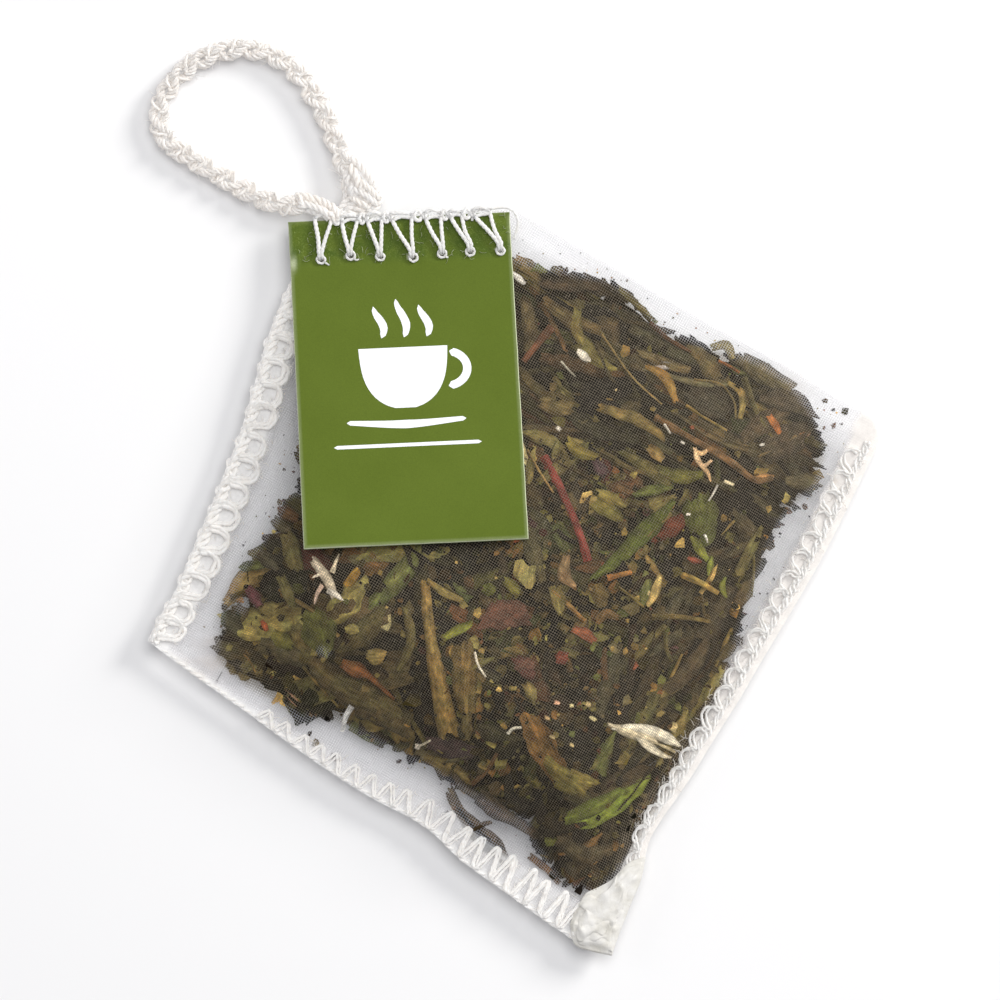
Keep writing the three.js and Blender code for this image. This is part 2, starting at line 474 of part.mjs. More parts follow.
// A flat piece of leaf that follows the front panel from inside.
function leafGeometry(points, widths, thickness) {
  const curve = points.length === 2 ? flatCurve(points) : flatCurve(points);
  const length = curve.getLength();
  const n = Math.max(3, Math.min(9, Math.round(length / 2)));
  const mid = [];
  const tris = [];
  const widthAt = (u) => {
    const s = u * (widths.length - 1);
    const i = Math.min(Math.floor(s), widths.length - 2);
    const f = s - i;
    return widths[i] + (widths[i + 1] - widths[i]) * (0.5 - 0.5 * Math.cos(Math.PI * f));
  };
  for (let k = 0; k <= n; k++) {
    const u = k / n;
    const p = curve.getPointAt(u);
    const t = curve.getTangentAt(u);
    for (const s of [-0.5, 0, 0.5]) {
      const x = p.x - t.y * s * widthAt(u);
      const y = p.y + t.x * s * widthAt(u);
      const high = builtZ(x, y) - SHEET / 2 - LEAF_CLEAR - thickness / 2;
      const low = backZ(x, y) + SHEET / 2 + LEAF_CLEAR + thickness / 2;
      mid.push(new THREE.Vector3(x, y, Math.max(high, (high + low) / 2)));
    }
    if (k < n)
      for (const c of [0, 1]) {
        const a = k * 3 + c;
        tris.push([a, a + 3, a + 4], [a, a + 4, a + 1]);
      }
  }
  return thickSheet(mid, tris, thickness);
}

// A round stem that lies under the front panel.
function stemGeometry(points, diameter) {
  const flat = points.length === 2 ? flatCurve(points) : flatCurve(points);
  const n = Math.max(3, Math.min(10, Math.round(flat.getLength() / 2.2)));
  const lifted = flat.getSpacedPoints(n).map((p) => new THREE.Vector3(p.x, p.y, builtZ(p.x, p.y) - SHEET / 2 - LEAF_CLEAR - diameter / 2 - 0.1));
  return tube(new THREE.CatmullRomCurve3(lifted, false, "centripetal"), diameter / 2, 6, n);
}

// ---------- assembly ----------
const assembly = new THREE.Group();
function put(name, geometry, color, roughness = 0.8) {
  const mesh = new THREE.Mesh(geometry, new THREE.MeshStandardMaterial({ color, roughness, metalness: 0 }));
  mesh.name = name;
  assembly.add(mesh);
  return mesh;
}
put("mesh_pouch", toGeometry(pouchSolid), "#e6e4ea", 0.6);
put("paper_tag", toGeometry(tagSolid), "#6b7e2c", 0.75);
const loopCurve = new THREE.CatmullRomCurve3(CORD.map((p) => new THREE.Vector3(...p)), false, "centripetal");
put("hanging_loop", tube(loopCurve, CORD_R, 8, 26), "#efedea", 0.85);
put("tag_stitch_thread", toGeometry(tagThread), "#f4f2ee", 0.8);
put("seam_thread_left", threadLeft, "#eceae8", 0.8);
put("seam_thread_bottom", threadBottom, "#eceae8", 0.8);
put("seam_thread_right", threadRight, "#eceae8", 0.8);
put("loose_leaf_bed", bedGeometry(), "#3d3528", 0.95);
for (const [name, kind, points, widths, thickness, color] of PIECES)
  put(name, kind === "stem" ? stemGeometry(points, widths[0]) : leafGeometry(points, widths, thickness), color, 0.9);
assembly.position.set(...ORIGIN_SHIFT);

export default assembly;
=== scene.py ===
# Looks of the flat stitched mesh tea bag: mesh pouch, overlocked seams, paper tag, plaited loop, loose tea.
# Lengths in the tables are millimetres in the frame of the CAD source before its origin shift.
import math
import bpy
import numpy as np
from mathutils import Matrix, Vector


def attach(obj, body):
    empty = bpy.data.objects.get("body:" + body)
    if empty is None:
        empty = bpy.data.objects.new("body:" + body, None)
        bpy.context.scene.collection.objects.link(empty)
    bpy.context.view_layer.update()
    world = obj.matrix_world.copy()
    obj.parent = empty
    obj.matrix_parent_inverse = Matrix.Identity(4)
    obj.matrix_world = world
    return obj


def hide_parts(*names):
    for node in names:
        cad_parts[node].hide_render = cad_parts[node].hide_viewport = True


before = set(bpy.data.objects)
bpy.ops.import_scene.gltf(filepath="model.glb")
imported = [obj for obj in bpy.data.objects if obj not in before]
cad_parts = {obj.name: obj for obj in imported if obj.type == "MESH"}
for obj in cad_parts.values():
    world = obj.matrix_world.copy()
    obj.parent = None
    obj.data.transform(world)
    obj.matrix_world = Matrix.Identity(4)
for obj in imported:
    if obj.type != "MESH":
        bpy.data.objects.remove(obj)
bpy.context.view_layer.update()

# ---------------------------------------------------------------- dimensions (mm)
SHEET = 0.15
PANEL_HALF_GAP = 0.2
SEAM_Z = 2.2
SEAM_W = 4.6
SEAM_W_RIGHT = 2.8
BULGE = 8.4
NEEDLE_IN = 4.0
TAG_W, TAG_L, TAG_T = 25.5, 38.7, 0.35
TAG_TURN = 0.012
TAG_X0, TAG_TOP_Y = -24.4, 42.98
TAG_SLOPE_0, TAG_SLOPE_1, TAG_BEND = 0.05, 0.27, 14.0
SHIFT = np.array([-0.13, -0.91, 0.0])
WEAVE = 0.283  # pitch of the mesh threads
THREAD_ALPHA = 0.62  # how much of the light a thread holds back
WEAVE_FULL, WEAVE_NONE = 0.05, 0.25  # half width of a thread, from solid to nothing, in half pitches
THREAD_COLOUR = (0.95, 0.945, 0.975)  # over the white margins
THREAD_OVER_TEA_PAINTED_SHADE = (0.38, 0.325, 0.245)  # painted shade: over the tea the thread is coloured darker and browner, standing in for the shade it lies in and the leaf colour seen through it

LEFT = [[-42.88, -4.39], [-41.38, -1.7], [-39.52, 1.09], [-37.62, 4.92], [-35.58, 9.31], [-33.54, 13.71], [-31.5, 18.22], [-29.92, 22.52], [-28.59, 26.6], [-27.39, 30.11], [-25.86, 33.5], [-23.83, 37.66], [-20.93, 43.17]]
BOTTOM = [[-42.88, -4.39], [-37.0, -9.15], [-31.44, -13.43], [-25.67, -18.06], [-19.65, -22.48], [-16.75, -24.33], [-13.38, -26.21], [-11.16, -27.92], [-8.19, -31.05], [-2.86, -35.32], [1.14, -38.49], [5.15, -41.32], [8.76, -42.98]]
RIGHT = [[8.76, -42.98], [9.65, -40.95], [11.33, -36.88], [12.48, -34.41], [13.17, -31.91], [13.96, -29.64], [15.45, -27.41], [17.16, -25.18], [19.0, -22.74], [20.97, -19.83], [23.19, -16.6], [24.91, -14.14], [27.63, -9.9], [30.6, -5.43], [35.56, 2.4], [40.57, 11.49], [41.95, 14.08], [42.25, 15.44]]
FOLD = [[1.97, 43.28], [6.67, 40.19], [13.37, 35.86], [22.31, 30.04], [31.27, 24.57], [36.85, 20.75], [40.2, 18.53], [41.53, 17.32], [42.25, 15.44]]
TOP = [[-20.93, 43.17], [1.97, 43.28]]
KNOTS = [[-20.91, 38.56], [-17.56, 38.87], [-14.12, 38.6], [-10.45, 38.32], [-6.98, 38.62], [-3.76, 38.71], [-0.31, 38.66]]
LEGS = [[-21.4, -19.47], [-18.32, -16.49], [-15.45, -13.73], [-12.69, -10.28], [-8.78, -6.96], [-5.93, -4.55], [-3.28, -1.27]]
CORD = [[-22.3, 44.75, 2.3], [-24.33, 44.95, 2.0], [-26.73, 45.55, 1.55], [-28.87, 46.65, 1.25], [-31.01, 48.03, 1.18], [-33.14, 49.34, 1.18], [-35.28, 50.87, 1.18], [-37.2, 52.27, 1.18], [-38.55, 53.87, 1.18], [-38.85, 56.09, 1.18], [-38.03, 58.46, 1.18], [-36.5, 60.39, 1.18], [-34.58, 61.82, 1.18], [-32.32, 62.83, 1.18], [-29.88, 63.28, 1.18], [-27.6, 63.08, 1.18], [-25.41, 62.31, 1.18], [-23.49, 61.02, 1.18], [-21.91, 59.29, 1.18], [-20.75, 57.26, 1.18], [-19.75, 55.11, 1.18], [-18.95, 52.98, 1.18], [-18.3, 50.86, 1.25], [-17.6, 48.97, 1.55], [-16.95, 47.3, 2.0], [-16.5, 45.7, 2.3]]

WORLD_STRENGTH = 0.34
KEY_POWER = 5.0
BRIGHT = 0.84
FILL_POWER = 0.32
TOP_POWER = 5.1
# name, kind, centre line, width at each point (a stem has one diameter), thickness, colour
PIECES = [
  ["red_stem", "stem", [[3.55, 14.67], [5.34, 11.02], [7.28, 5.53], [8.07, 2.61]], [1.15], 1.1, "#8a3a34"],
  ["green_lance_leaf", "leaf", [[18.13, 8.95], [15.6, 6.41], [10.45, 1.93], [8.32, 0.53]], [0.69, 2.3, 1.61, 0.69], 0.5, "#4a5a2a"],
  ["green_broad_leaf", "leaf", [[20.69, 9.41], [20.95, 7.55], [21.19, 5.36]], [2.99, 4.37, 2.99], 0.5, "#4e5a30"],
  ["upper_green_blade", "leaf", [[13.57, 9.84], [16.01, 10.31], [18.09, 10.56]], [0.69, 1.38, 0.57], 0.5, "#4c5a32"],
  ["tan_curl_chip", "leaf", [[5.68, 3.3], [5.24, 1.13], [6.44, -0.3]], [0.92, 1.61, 0.69], 0.6, "#8d7258"],
  ["orange_stem", "stem", [[10.16, 0.56], [12.95, 1.13]], [0.69], 0.7, "#b07a48"],
  ["cream_twin_stem", "leaf", [[16.14, 0.52], [15.22, -1.97], [14.61, -2.75]], [0.57, 1.03, 0.57], 0.5, "#cfb47c"],
  ["tan_stem", "stem", [[18.67, 0.52], [20.59, -0.37], [22.71, -1.73]], [0.8], 0.8, "#a98f52"],
  ["small_green_leaf_a", "leaf", [[22.18, 2.43], [21.93, 1.29], [21.65, 0.27]], [0.34, 0.8, 0.34], 0.4, "#6a7a3c"],
  ["small_green_leaf_b", "leaf", [[23.71, -0.05], [23.26, -1.07], [23.72, -2.35]], [0.34, 0.69, 0.34], 0.4, "#6a7a3c"],
  ["pale_square_chip", "leaf", [[1.39, 2.57], [1.1, 1.32], [0.94, 0.18]], [3.22, 3.1, 1.61], 0.5, "#9a9262"],
  ["green_disc_chip", "leaf", [[-4.02, 0.06], [-3.33, -0.09], [-2.65, -0.35]], [0.92, 1.61, 0.92], 0.4, "#55622e"],
  ["narrow_tan_leaf", "leaf", [[4.15, -0.08], [4.53, -1.83], [4.68, -3.56]], [1.61, 1.61, 0.46], 0.5, "#7a6c44"],
  ["maroon_chip", "leaf", [[-4.07, -3.74], [-2.21, -3.13], [-0.36, -2.99], [1.13, -3.17]], [1.61, 3.22, 2.99, 2.07], 0.7, "#6e4a3c"],
  ["orange_chip", "leaf", [[6.11, -5.01], [7.35, -5.64], [8.34, -6.6]], [0.92, 1.38, 0.8], 0.5, "#96573a"],
  ["brown_curl_chip", "leaf", [[8.79, -4.32], [9.86, -3.45], [11.22, -3.97]], [0.92, 1.15, 0.69], 0.6, "#76593a"],
  ["olive_long_stem", "stem", [[15.01, -4.09], [18.0, -4.22], [21.64, -4.96]], [0.69], 0.7, "#6c5c34"],
  ["curved_small_stem", "stem", [[16.54, -5.94], [16.56, -7.9], [17.07, -9.3]], [0.57], 0.6, "#6c6440"],
  ["red_chip", "leaf", [[3.88, -8.47], [4.58, -8.27], [5.28, -8.07]], [0.92, 1.49, 0.92], 0.5, "#8a4636"],
  ["maroon_round_chip", "leaf", [[-0.62, -8.84], [0.4, -9.0], [1.43, -9.28]], [1.15, 2.3, 1.38], 0.6, "#6c4a3e"],
  ["straw_stem", "leaf", [[-10.53, 1.16], [-10.33, -3.68], [-9.38, -11.55], [-8.58, -16.77]], [1.26, 1.49, 2.3, 2.76], 1.1, "#8b7446"],
  ["broad_tan_leaf", "leaf", [[-6.61, -6.27], [-6.52, -9.38], [-6.48, -13.75]], [2.53, 2.99, 2.07], 0.5, "#6e5c38"],
  ["green_blade_small", "leaf", [[-8.75, -5.37], [-7.22, -4.63], [-5.46, -3.91]], [0.8, 1.03, 0.69], 0.5, "#73813e"],
  ["big_green_leaf", "leaf", [[-23.66, -1.7], [-22.85, -4.27], [-22.27, -6.59]], [2.3, 4.37, 1.84], 0.5, "#5a6436"],
  ["light_green_leaf", "leaf", [[-28.37, -4.13], [-27.15, -5.11], [-26.15, -5.96]], [1.15, 2.07, 0.92], 0.5, "#6d7440"],
  ["brown_spoon_leaf", "leaf", [[-20.48, -7.83], [-19.36, -8.45], [-17.89, -9.09], [-16.35, -10.54], [-14.81, -12.11]], [1.03, 1.95, 0.69, 0.46, 0.34], 0.5, "#7d5232"],
  ["tan_disc", "leaf", [[-17.58, -7.15], [-16.54, -7.2], [-15.51, -7.25]], [1.38, 1.95, 1.38], 0.6, "#a08a58"],
  ["tan_ring_chip", "leaf", [[-19.73, -3.83], [-19.04, -3.98], [-18.48, -4.23]], [0.92, 1.38, 0.8], 0.5, "#8f8250"],
  ["dark_olive_stem", "leaf", [[-12.94, -1.38], [-12.45, -5.66], [-14.09, -9.04]], [1.03, 1.38, 0.92], 0.8, "#5a5232"],
  ["golden_stub", "leaf", [[-18.05, 2.65], [-18.78, 1.88], [-19.51, 0.99]], [1.03, 1.15, 1.03], 0.8, "#a07a34"],
  ["star_petal", "leaf", [[-23.05, 4.03], [-21.76, 2.01], [-20.95, -0.33]], [1.15, 1.49, 0.92], 0.5, "#dbcbb0"],
  ["olive_side_leaf", "leaf", [[-26.35, 7.4], [-25.65, 5.07], [-25.06, 2.97]], [1.61, 2.3, 1.38], 0.6, "#6a6440"],
  ["olive_side_leaf_b", "leaf", [[-27.04, 2.25], [-26.32, 0.49], [-25.82, -1.14]], [1.15, 1.38, 0.69], 0.5, "#6a6440"],
  ["large_olive_leaf", "leaf", [[-22.96, -9.09], [-19.26, -11.22], [-14.43, -13.97]], [1.84, 2.99, 2.3], 0.5, "#5f5536"],
  ["tan_orange_leaf", "leaf", [[0.49, -14.76], [1.83, -18.04], [3.65, -21.12]], [1.84, 3.45, 2.53], 0.6, "#806038"],
  ["forked_cream_petal", "leaf", [[9.63, -16.1], [12.34, -17.26], [14.93, -18.52]], [0.46, 1.72, 1.03], 0.5, "#d8c9a8"],
  ["bright_green_blade", "leaf", [[4.31, -26.79], [7.82, -25.56], [10.66, -23.97]], [1.49, 2.3, 1.15], 0.5, "#5f7238"],
  ["forked_dark_twig", "leaf", [[-8.53, -20.79], [-7.47, -22.68], [-5.8, -24.03]], [0.57, 0.8, 0.92], 0.3, "#4a4032"],
  ["brown_main_stem", "stem", [[16.5, 18.57], [21.42, 15.36], [25.32, 12.65], [27.54, 10.93], [29.51, 11.08]], [0.92], 0.9, "#74583c"],
  ["tan_blade", "leaf", [[15.74, 24.59], [17.97, 23.11], [18.99, 20.18]], [0.69, 1.26, 0.69], 0.5, "#8a6c3a"],
  ["upright_olive_leaf", "leaf", [[8.35, 31.6], [8.12, 29.19], [8.72, 27.21]], [0.92, 1.49, 1.03], 0.5, "#6c6238"],
  ["red_twig", "stem", [[5.26, 29.55], [3.33, 27.45], [1.75, 25.68]], [1.03], 1.0, "#70432c"],
  ["dark_long_leaf", "leaf", [[4.11, 34.67], [7.78, 34.27], [11.0, 34.35]], [0.92, 1.38, 1.61], 0.5, "#3c3228"],
  ["big_twisted_leaf", "leaf", [[10.47, 27.59], [12.81, 23.57], [14.76, 20.84]], [1.38, 2.53, 1.15], 0.5, "#4a4228"],
  ["tan_olive_leaf", "leaf", [[3.17, 21.48], [5.32, 20.69], [7.48, 20.02]], [1.84, 2.76, 1.61], 0.5, "#66593a"],
  ["dark_oval_leaf", "leaf", [[20.56, 21.84], [22.79, 20.36], [25.25, 18.63]], [2.3, 3.91, 2.3], 0.6, "#3b352b"],
  ["right_dark_leaf", "leaf", [[28.49, 14.11], [31.07, 15.15], [33.64, 16.07]], [2.99, 3.91, 2.76], 0.6, "#3d3429"],
  ["olive_top_leaf", "leaf", [[26.47, 25.25], [29.47, 23.04], [32.49, 21.07]], [1.61, 2.53, 1.84], 0.5, "#4c4530"],
]
MASS = [[1.35, 37.21], [4.76, 36.13], [11.59, 34.67], [15.51, 32.19], [17.65, 28.64], [22.16, 26.71], [28.95, 24.1], [32.29, 21.65], [34.3, 18.5], [35.3, 16.4], [35.9, 13.4], [34.5, 10.0], [32.1, 8.0], [30.3, 6.4], [28.7, 2.9], [27.3, 0.2], [26.4, -2.8], [25.1, -6.0], [24.3, -8.52], [22.66, -13.01], [20.15, -17.49], [17.65, -21.98], [13.94, -27.57], [10.86, -32.03], [7.59, -35.68], [3.3, -33.99], [1.16, -30.44], [-0.98, -26.89], [-6.57, -23.19], [-11.03, -20.11], [-14.4, -18.23], [-20.01, -15.1], [-25.7, -13.69], [-31.31, -10.56], [-35.17, -6.93], [-33.76, -1.24], [-31.26, 3.25], [-26.98, 8.81], [-26.3, 11.08], [-24.55, 11.57], [-24.26, 17.89], [-20.24, 30.36], [-11.97, 35.17]]
GAPS = [[[-32.45, -0.15], [-31.29, 0.03], [-31.36, -1.58], [-32.51, -1.53]], [[-22.81, -5.76], [-21.68, -6.39], [-22.4, -7.05], [-23.3, -6.55]], [[-3.31, -27.48], [-0.96, -26.32], [0.38, -27.18], [-2.02, -29.37]], [[-6.62, -24.33], [-4.96, -25.79], [-3.31, -27.48], [-5.82, -26.9]]]
SPECKS = [[7.05, 35.91], [11.46, 34.33], [13.17, 31.49], [14.59, 32.23], [36.23, 19.75], [37.09, 18.56], [38.57, 18.14], [36.08, 16.53], [37.13, 16.71], [37.19, 10.5], [35.3, 6.9], [33.26, 7.57], [31.63, 7.18], [-12.16, -19.71], [-14.45, -19.49], [-9.44, -25.7], [-15.88, -10.45], [-17.67, -16.93], [-16.67, -17.55], [-8.38, -25.17], [-5.93, -21.72], [-0.46, -22.89], [2.68, -24.87], [-26.25, -0.43], [-28.99, 2.57], [-24.77, -16.03], [-24.0, -16.87], [-22.36, -18.67], [-22.03, -19.03], [-33.72, -7.91], [-26.59, 9.71], [-26.26, 14.53], [-26.02, 9.69]]
EXTRAS = [
    ["leaf", [[-9.08, -23.3], [-8.14, -25.53], [-6.41, -27.79], [-4.41, -29.49], [-3.0, -31.28]], [0.9, 0.9, 1.5, 2.6, 1.3], "#5a4c3c", "dark"],
    ["leaf", [[-5.78, -24.14], [-3.67, -25.73], [-1.65, -26.86], [0.36, -28.33]], [1.3, 1.9, 1.5, 1.2], "#4c4034", "dark"],
    ["stem", [[-6.41, -27.79], [-5.24, -27.38], [-4.3, -27.08]], [0.5], "#4a4032", "dark"],
    ["leaf", [[-0.11, -31.07], [1.88, -32.77], [3.19, -34.44]], [0.7, 0.9, 0.6], "#6a5034", "dark"],
    ["stem", [[1.75, 15.56], [2.91, 13.2], [4.51, 10.48]], [0.34], "#a08458", "dry"],
    ["leaf", [[20.02, 4.83], [20.76, 3.42], [21.73, 1.99]], [0.69, 1.15, 0.69], "#6c7a3c", "green"],
    ["leaf", [[19.45, 2.44], [20.24, 2.06], [21.04, 1.91]], [0.46, 0.8, 0.46], "#8a4a38", "fruit"],
    ["leaf", [[-1.44, 1.09], [-0.79, 0.25], [-0.02, -0.7]], [1.03, 1.61, 1.03], "#5c6234", "green"],
    ["leaf", [[8.72, 9.49], [10.29, 8.5], [12.06, 7.04]], [1.15, 2.07, 1.15], "#666a3c", "green"],
    ["leaf", [[9.45, 10.38], [11.03, 9.61], [12.37, 8.63]], [0.92, 1.38, 0.69], "#77764a", "green"],
    ["stem", [[11.37, -0.53], [12.82, -1.74], [14.14, -2.95]], [0.46], "#78683c", "dry"],
    ["stem", [[-34.43, -8.34], [-35.04, -9.24], [-35.42, -9.91]], [0.17], "#2e2826", "dark"],
    ["stem", [[-31.92, -6.39], [-31.16, -7.34], [-30.64, -8.51]], [0.29], "#a08050", "dry"],
    ["leaf", [[1.07, 35.95], [1.62, 35.47], [2.28, 34.75]], [0.57, 0.92, 0.57], "#e8e4dc", "petal"],
    ["leaf", [[8.12, 26.66], [8.67, 26.06], [9.33, 25.45]], [0.69, 1.03, 0.57], "#d0c8b8", "petal"],
    ["stem", [[6.11, 25.49], [6.87, 24.53], [7.64, 23.69]], [0.29], "#e0d8c0", "petal"],
    ["leaf", [[5.2, 18.05], [5.42, 17.81], [5.64, 17.57]], [0.34, 0.46, 0.34], "#d8d0c0", "petal"],
    ["stem", [[17.5, 17.72], [18.14, 16.65]], [0.34], "#e8e0d0", "petal"],
    ["leaf", [[19.24, 15.68], [19.47, 15.56], [19.69, 15.43]], [0.23, 0.34, 0.23], "#e8e0d0", "petal"],
    ["leaf", [[20.82, 14.81], [21.0, 13.76], [21.65, 12.81], [22.59, 13.35]], [0.4, 0.7, 0.6, 0.35], "#d8b488", "petal"],
    ["leaf", [[21.53, 12.82], [22.07, 11.99], [22.37, 11.05]], [0.69, 0.57, 0.23], "#cfa878", "petal"],
    ["leaf", [[20.8, 14.46], [21.59, 14.2], [22.3, 14.62]], [0.46, 0.57, 0.34], "#cfa878", "petal"],
    ["leaf", [[23.86, 10.99], [24.43, 10.73], [24.99, 10.48]], [0.34, 0.46, 0.34], "#e0d0a8", "petal"],
    ["stem", [[23.15, 10.56], [22.65, 9.66], [22.04, 8.77]], [0.29], "#f0e8d8", "petal"],
    ["leaf", [[19.44, 7.39], [19.67, 7.38], [19.9, 7.37]], [0.34, 0.34, 0.34], "#e8e0d0", "petal"],
    ["stem", [[21.41, 5.0], [21.61, 4.53], [21.71, 4.07]], [0.34], "#f0e8d8", "petal"],
    ["leaf", [[28.3, 14.93], [28.53, 14.92], [28.76, 14.91]], [0.34, 0.34, 0.34], "#d8d0c0", "petal"],
    ["stem", [[-5.26, -7.14], [-4.98, -8.53], [-4.13, -10.06]], [0.34], "#fff4dc", "petal"],
    ["stem", [[-19.68, -12.92], [-20.42, -14.04], [-20.96, -15.86]], [0.8], "#ffffff", "petal"],
    ["stem", [[-12.31, -17.86], [-11.6, -17.55], [-10.78, -17.13]], [0.34], "#f0e4c8", "petal"],
    ["leaf", [[-12.65, -17.73], [-12.31, -17.86], [-11.97, -17.99]], [0.57, 0.69, 0.57], "#f0e4d0", "petal"],
    ["stem", [[-1.9, -16.61], [-1.3, -16.06], [-0.37, -15.99]], [0.46], "#f8f0d8", "petal"],
    ["leaf", [[-3.05, -11.49], [-2.7, -11.51], [-2.36, -11.53]], [0.46, 0.69, 0.46], "#c8b070", "tan"],
    ["leaf", [[-1.32, -11.46], [-0.97, -11.47], [-0.63, -11.49]], [0.46, 0.57, 0.46], "#c8b070", "tan"],
    ["leaf", [[3.43, -13.28], [3.78, -13.3], [4.12, -13.43]], [0.34, 0.46, 0.34], "#d0a080", "petal"],
    ["leaf", [[5.25, -13.71], [5.48, -13.72], [5.71, -13.73]], [0.34, 0.46, 0.34], "#d8c890", "petal"],
    ["leaf", [[7.1, -13.57], [7.44, -13.7], [7.66, -13.82]], [0.46, 0.57, 0.46], "#d0b880", "petal"],
    ["leaf", [[7.49, -15.08], [7.83, -15.32], [8.16, -15.57]], [0.34, 0.46, 0.34], "#d8c890", "petal"],
    ["leaf", [[2.8, -17.05], [3.14, -17.18], [3.36, -17.31]], [0.34, 0.46, 0.34], "#d0b880", "petal"],
    ["leaf", [[2.33, -14.84], [2.55, -14.97], [2.89, -15.1]], [0.34, 0.46, 0.34], "#c0a070", "petal"],
    ["leaf", [[5.06, -18.07], [5.28, -18.2], [5.5, -18.33]], [0.34, 0.46, 0.34], "#d0b880", "petal"],
    ["leaf", [[16.89, 24.54], [17.8, 24.49], [18.72, 24.45]], [0.69, 0.92, 0.69], "#a8a6b4", "dark"],
    ["stem", [[21.18, 22.73], [24.25, 22.02], [25.65, 19.88], [25.68, 18.04]], [0.34], "#7a6844", "dry"],
    ["stem", [[20.12, 19.79], [22.13, 18.31], [24.58, 16.71]], [0.4], "#94804e", "dry"],
    ["leaf", [[25.18, 22.2], [26.61, 20.87], [26.25, 18.01]], [0.57, 0.8, 0.57], "#94804e", "tan"],
    ["stem", [[10.96, 28.37], [14.29, 23.16], [17.37, 20.03]], [0.29], "#948058", "dry"],
    ["leaf", [[10.24, 20.01], [14.98, 18.06], [17.53, 15.99]], [1.15, 1.61, 0.92], "#75653f", "tan"],
    ["leaf", [[27.54, 10.93], [28.59, 11.12], [29.74, 11.07]], [0.8, 1.03, 0.69], "#b8885c", "tan"],
    ["leaf", [[29.6, 18.21], [30.13, 17.26], [30.66, 16.2]], [0.69, 1.03, 0.69], "#a86638", "tan"],
    ["leaf", [[31.9, 15.57], [33.07, 15.98], [34.23, 16.27]], [1.15, 1.61, 1.03], "#6c4c34", "tan"],
    ["stem", [[28.01, 13.56], [30.24, 14.49], [32.6, 15.77]], [0.34], "#7e6848", "dry"],
    ["leaf", [[28.87, 19.96], [31.3, 20.05], [33.4, 19.3], [34.9, 17.8]], [1.4, 2.5, 2.2, 0.8], "#40382c", "dark"],
    ["leaf", [[23.64, 26.3], [25.15, 26.58], [25.88, 25.05]], [0.92, 1.38, 0.92], "#5e5e38", "green"],
    ["stem", [[24.15, 24.78], [25.27, 24.16], [26.49, 23.29]], [0.46], "#985e38", "dry"],
    ["leaf", [[1.37, 37.55], [2.59, 36.69], [3.93, 35.59]], [1.15, 1.72, 1.03], "#74623f", "tan"],
    ["leaf", [[9.28, 14.07], [9.92, 13.12], [10.69, 12.16]], [0.92, 1.61, 0.92], "#503c44", "fruit"],
    ["leaf", [[-0.7, -7.92], [0.28, -9.11], [1.5, -10.32]], [1.15, 1.95, 1.15], "#603830", "fruit"],
    ["leaf", [[15.54, 15.28], [16.32, 14.55], [17.08, 13.71]], [0.92, 1.38, 0.8], "#947c50", "tan"],
    ["leaf", [[-30.89, 1.16], [-30.36, 0.22], [-29.72, -0.96]], [0.92, 1.38, 0.92], "#704048", "fruit"],
    ["leaf", [[-29.56, -2.58], [-29.25, -3.17], [-29.05, -3.87]], [0.46, 0.69, 0.46], "#c06840", "fruit"],
    ["leaf", [[-33.79, -1.81], [-33.03, -2.77], [-32.26, -3.72]], [1.38, 1.84, 1.38], "#4a4638", "dark"],
    ["leaf", [[-29.45, 5.12], [-28.45, 4.27], [-27.45, 3.42]], [1.15, 1.72, 1.15], "#4c463a", "dark"],
    ["leaf", [[-24.04, -7.55], [-19.83, -11.08], [-12.79, -15.77]], [2.53, 3.91, 2.76], "#5c5034", "dark"],
    ["leaf", [[-27.41, -10.85], [-26.53, -11.81], [-25.66, -12.88]], [0.46, 0.69, 0.46], "#c89878", "petal"],
    ["leaf", [[-10.91, -17.46], [-8.42, -18.27], [-5.8, -18.85]], [1.61, 2.53, 1.61], "#48383a", "fruit"],
    ["leaf", [[-11.56, -19.16], [-9.09, -20.42], [-6.51, -21.81]], [0.92, 2.07, 1.15], "#7a6a44", "tan"],
    ["leaf", [[2.23, -19.56], [3.87, -21.36], [6.64, -23.78]], [1.38, 2.3, 1.61], "#746a3a", "tan"],
    ["leaf", [[5.13, -21.42], [6.47, -22.28], [8.05, -23.04]], [0.92, 1.49, 0.92], "#857844", "tan"],
    ["leaf", [[3.23, -22.71], [4.48, -23.23], [5.71, -23.97]], [0.8, 1.26, 0.69], "#6c6436", "tan"],
    ["leaf", [[-8.85, -22.85], [-7.6, -25.67], [-5.85, -27.59], [-4.91, -29.7], [-3.09, -30.25]], [0.69, 0.8, 1.15, 1.49, 0.69], "#5a4e38", "dark"],
    ["leaf", [[-5.19, -23.25], [-3.21, -25.18], [-0.99, -27.12]], [0.69, 0.92, 0.69], "#4a4238", "dark"],
    ["leaf", [[-5.85, -27.59], [-5.14, -27.16], [-4.32, -26.97]], [0.57, 0.57, 0.34], "#5a4e38", "dark"],
    ["leaf", [[-7.7, -22.67], [-7.37, -23.15], [-7.04, -23.51]], [0.46, 0.57, 0.34], "#b08c4c", "tan"],
    ["leaf", [[9.95, -16.69], [11.8, -16.54], [14.19, -17.11], [16.21, -18.12], [18.11, -19.47]], [0.23, 0.92, 1.49, 1.38, 0.34], "#f2e8d0", "petal"],
    ["leaf", [[12.78, -17.62], [14.43, -19.31], [16.34, -20.43], [17.02, -20.57]], [0.57, 1.03, 0.69, 0.17], "#e8dcc0", "petal"],
    ["leaf", [[14.92, -18.64], [16.39, -19.39], [17.84, -20.38]], [0.23, 0.46, 0.17], "#c8b890", "petal"],
    ["leaf", [[4.5, -27.83], [6.37, -27.11], [9.07, -25.97], [12.02, -24.26], [14.41, -22.41]], [0.92, 2.53, 2.53, 1.72, 0.46], "#7c9848", "green"],
    ["leaf", [[13.81, -25.49], [15.04, -23.71], [16.51, -21.7]], [1.15, 1.49, 0.92], "#5a3428", "fruit"],
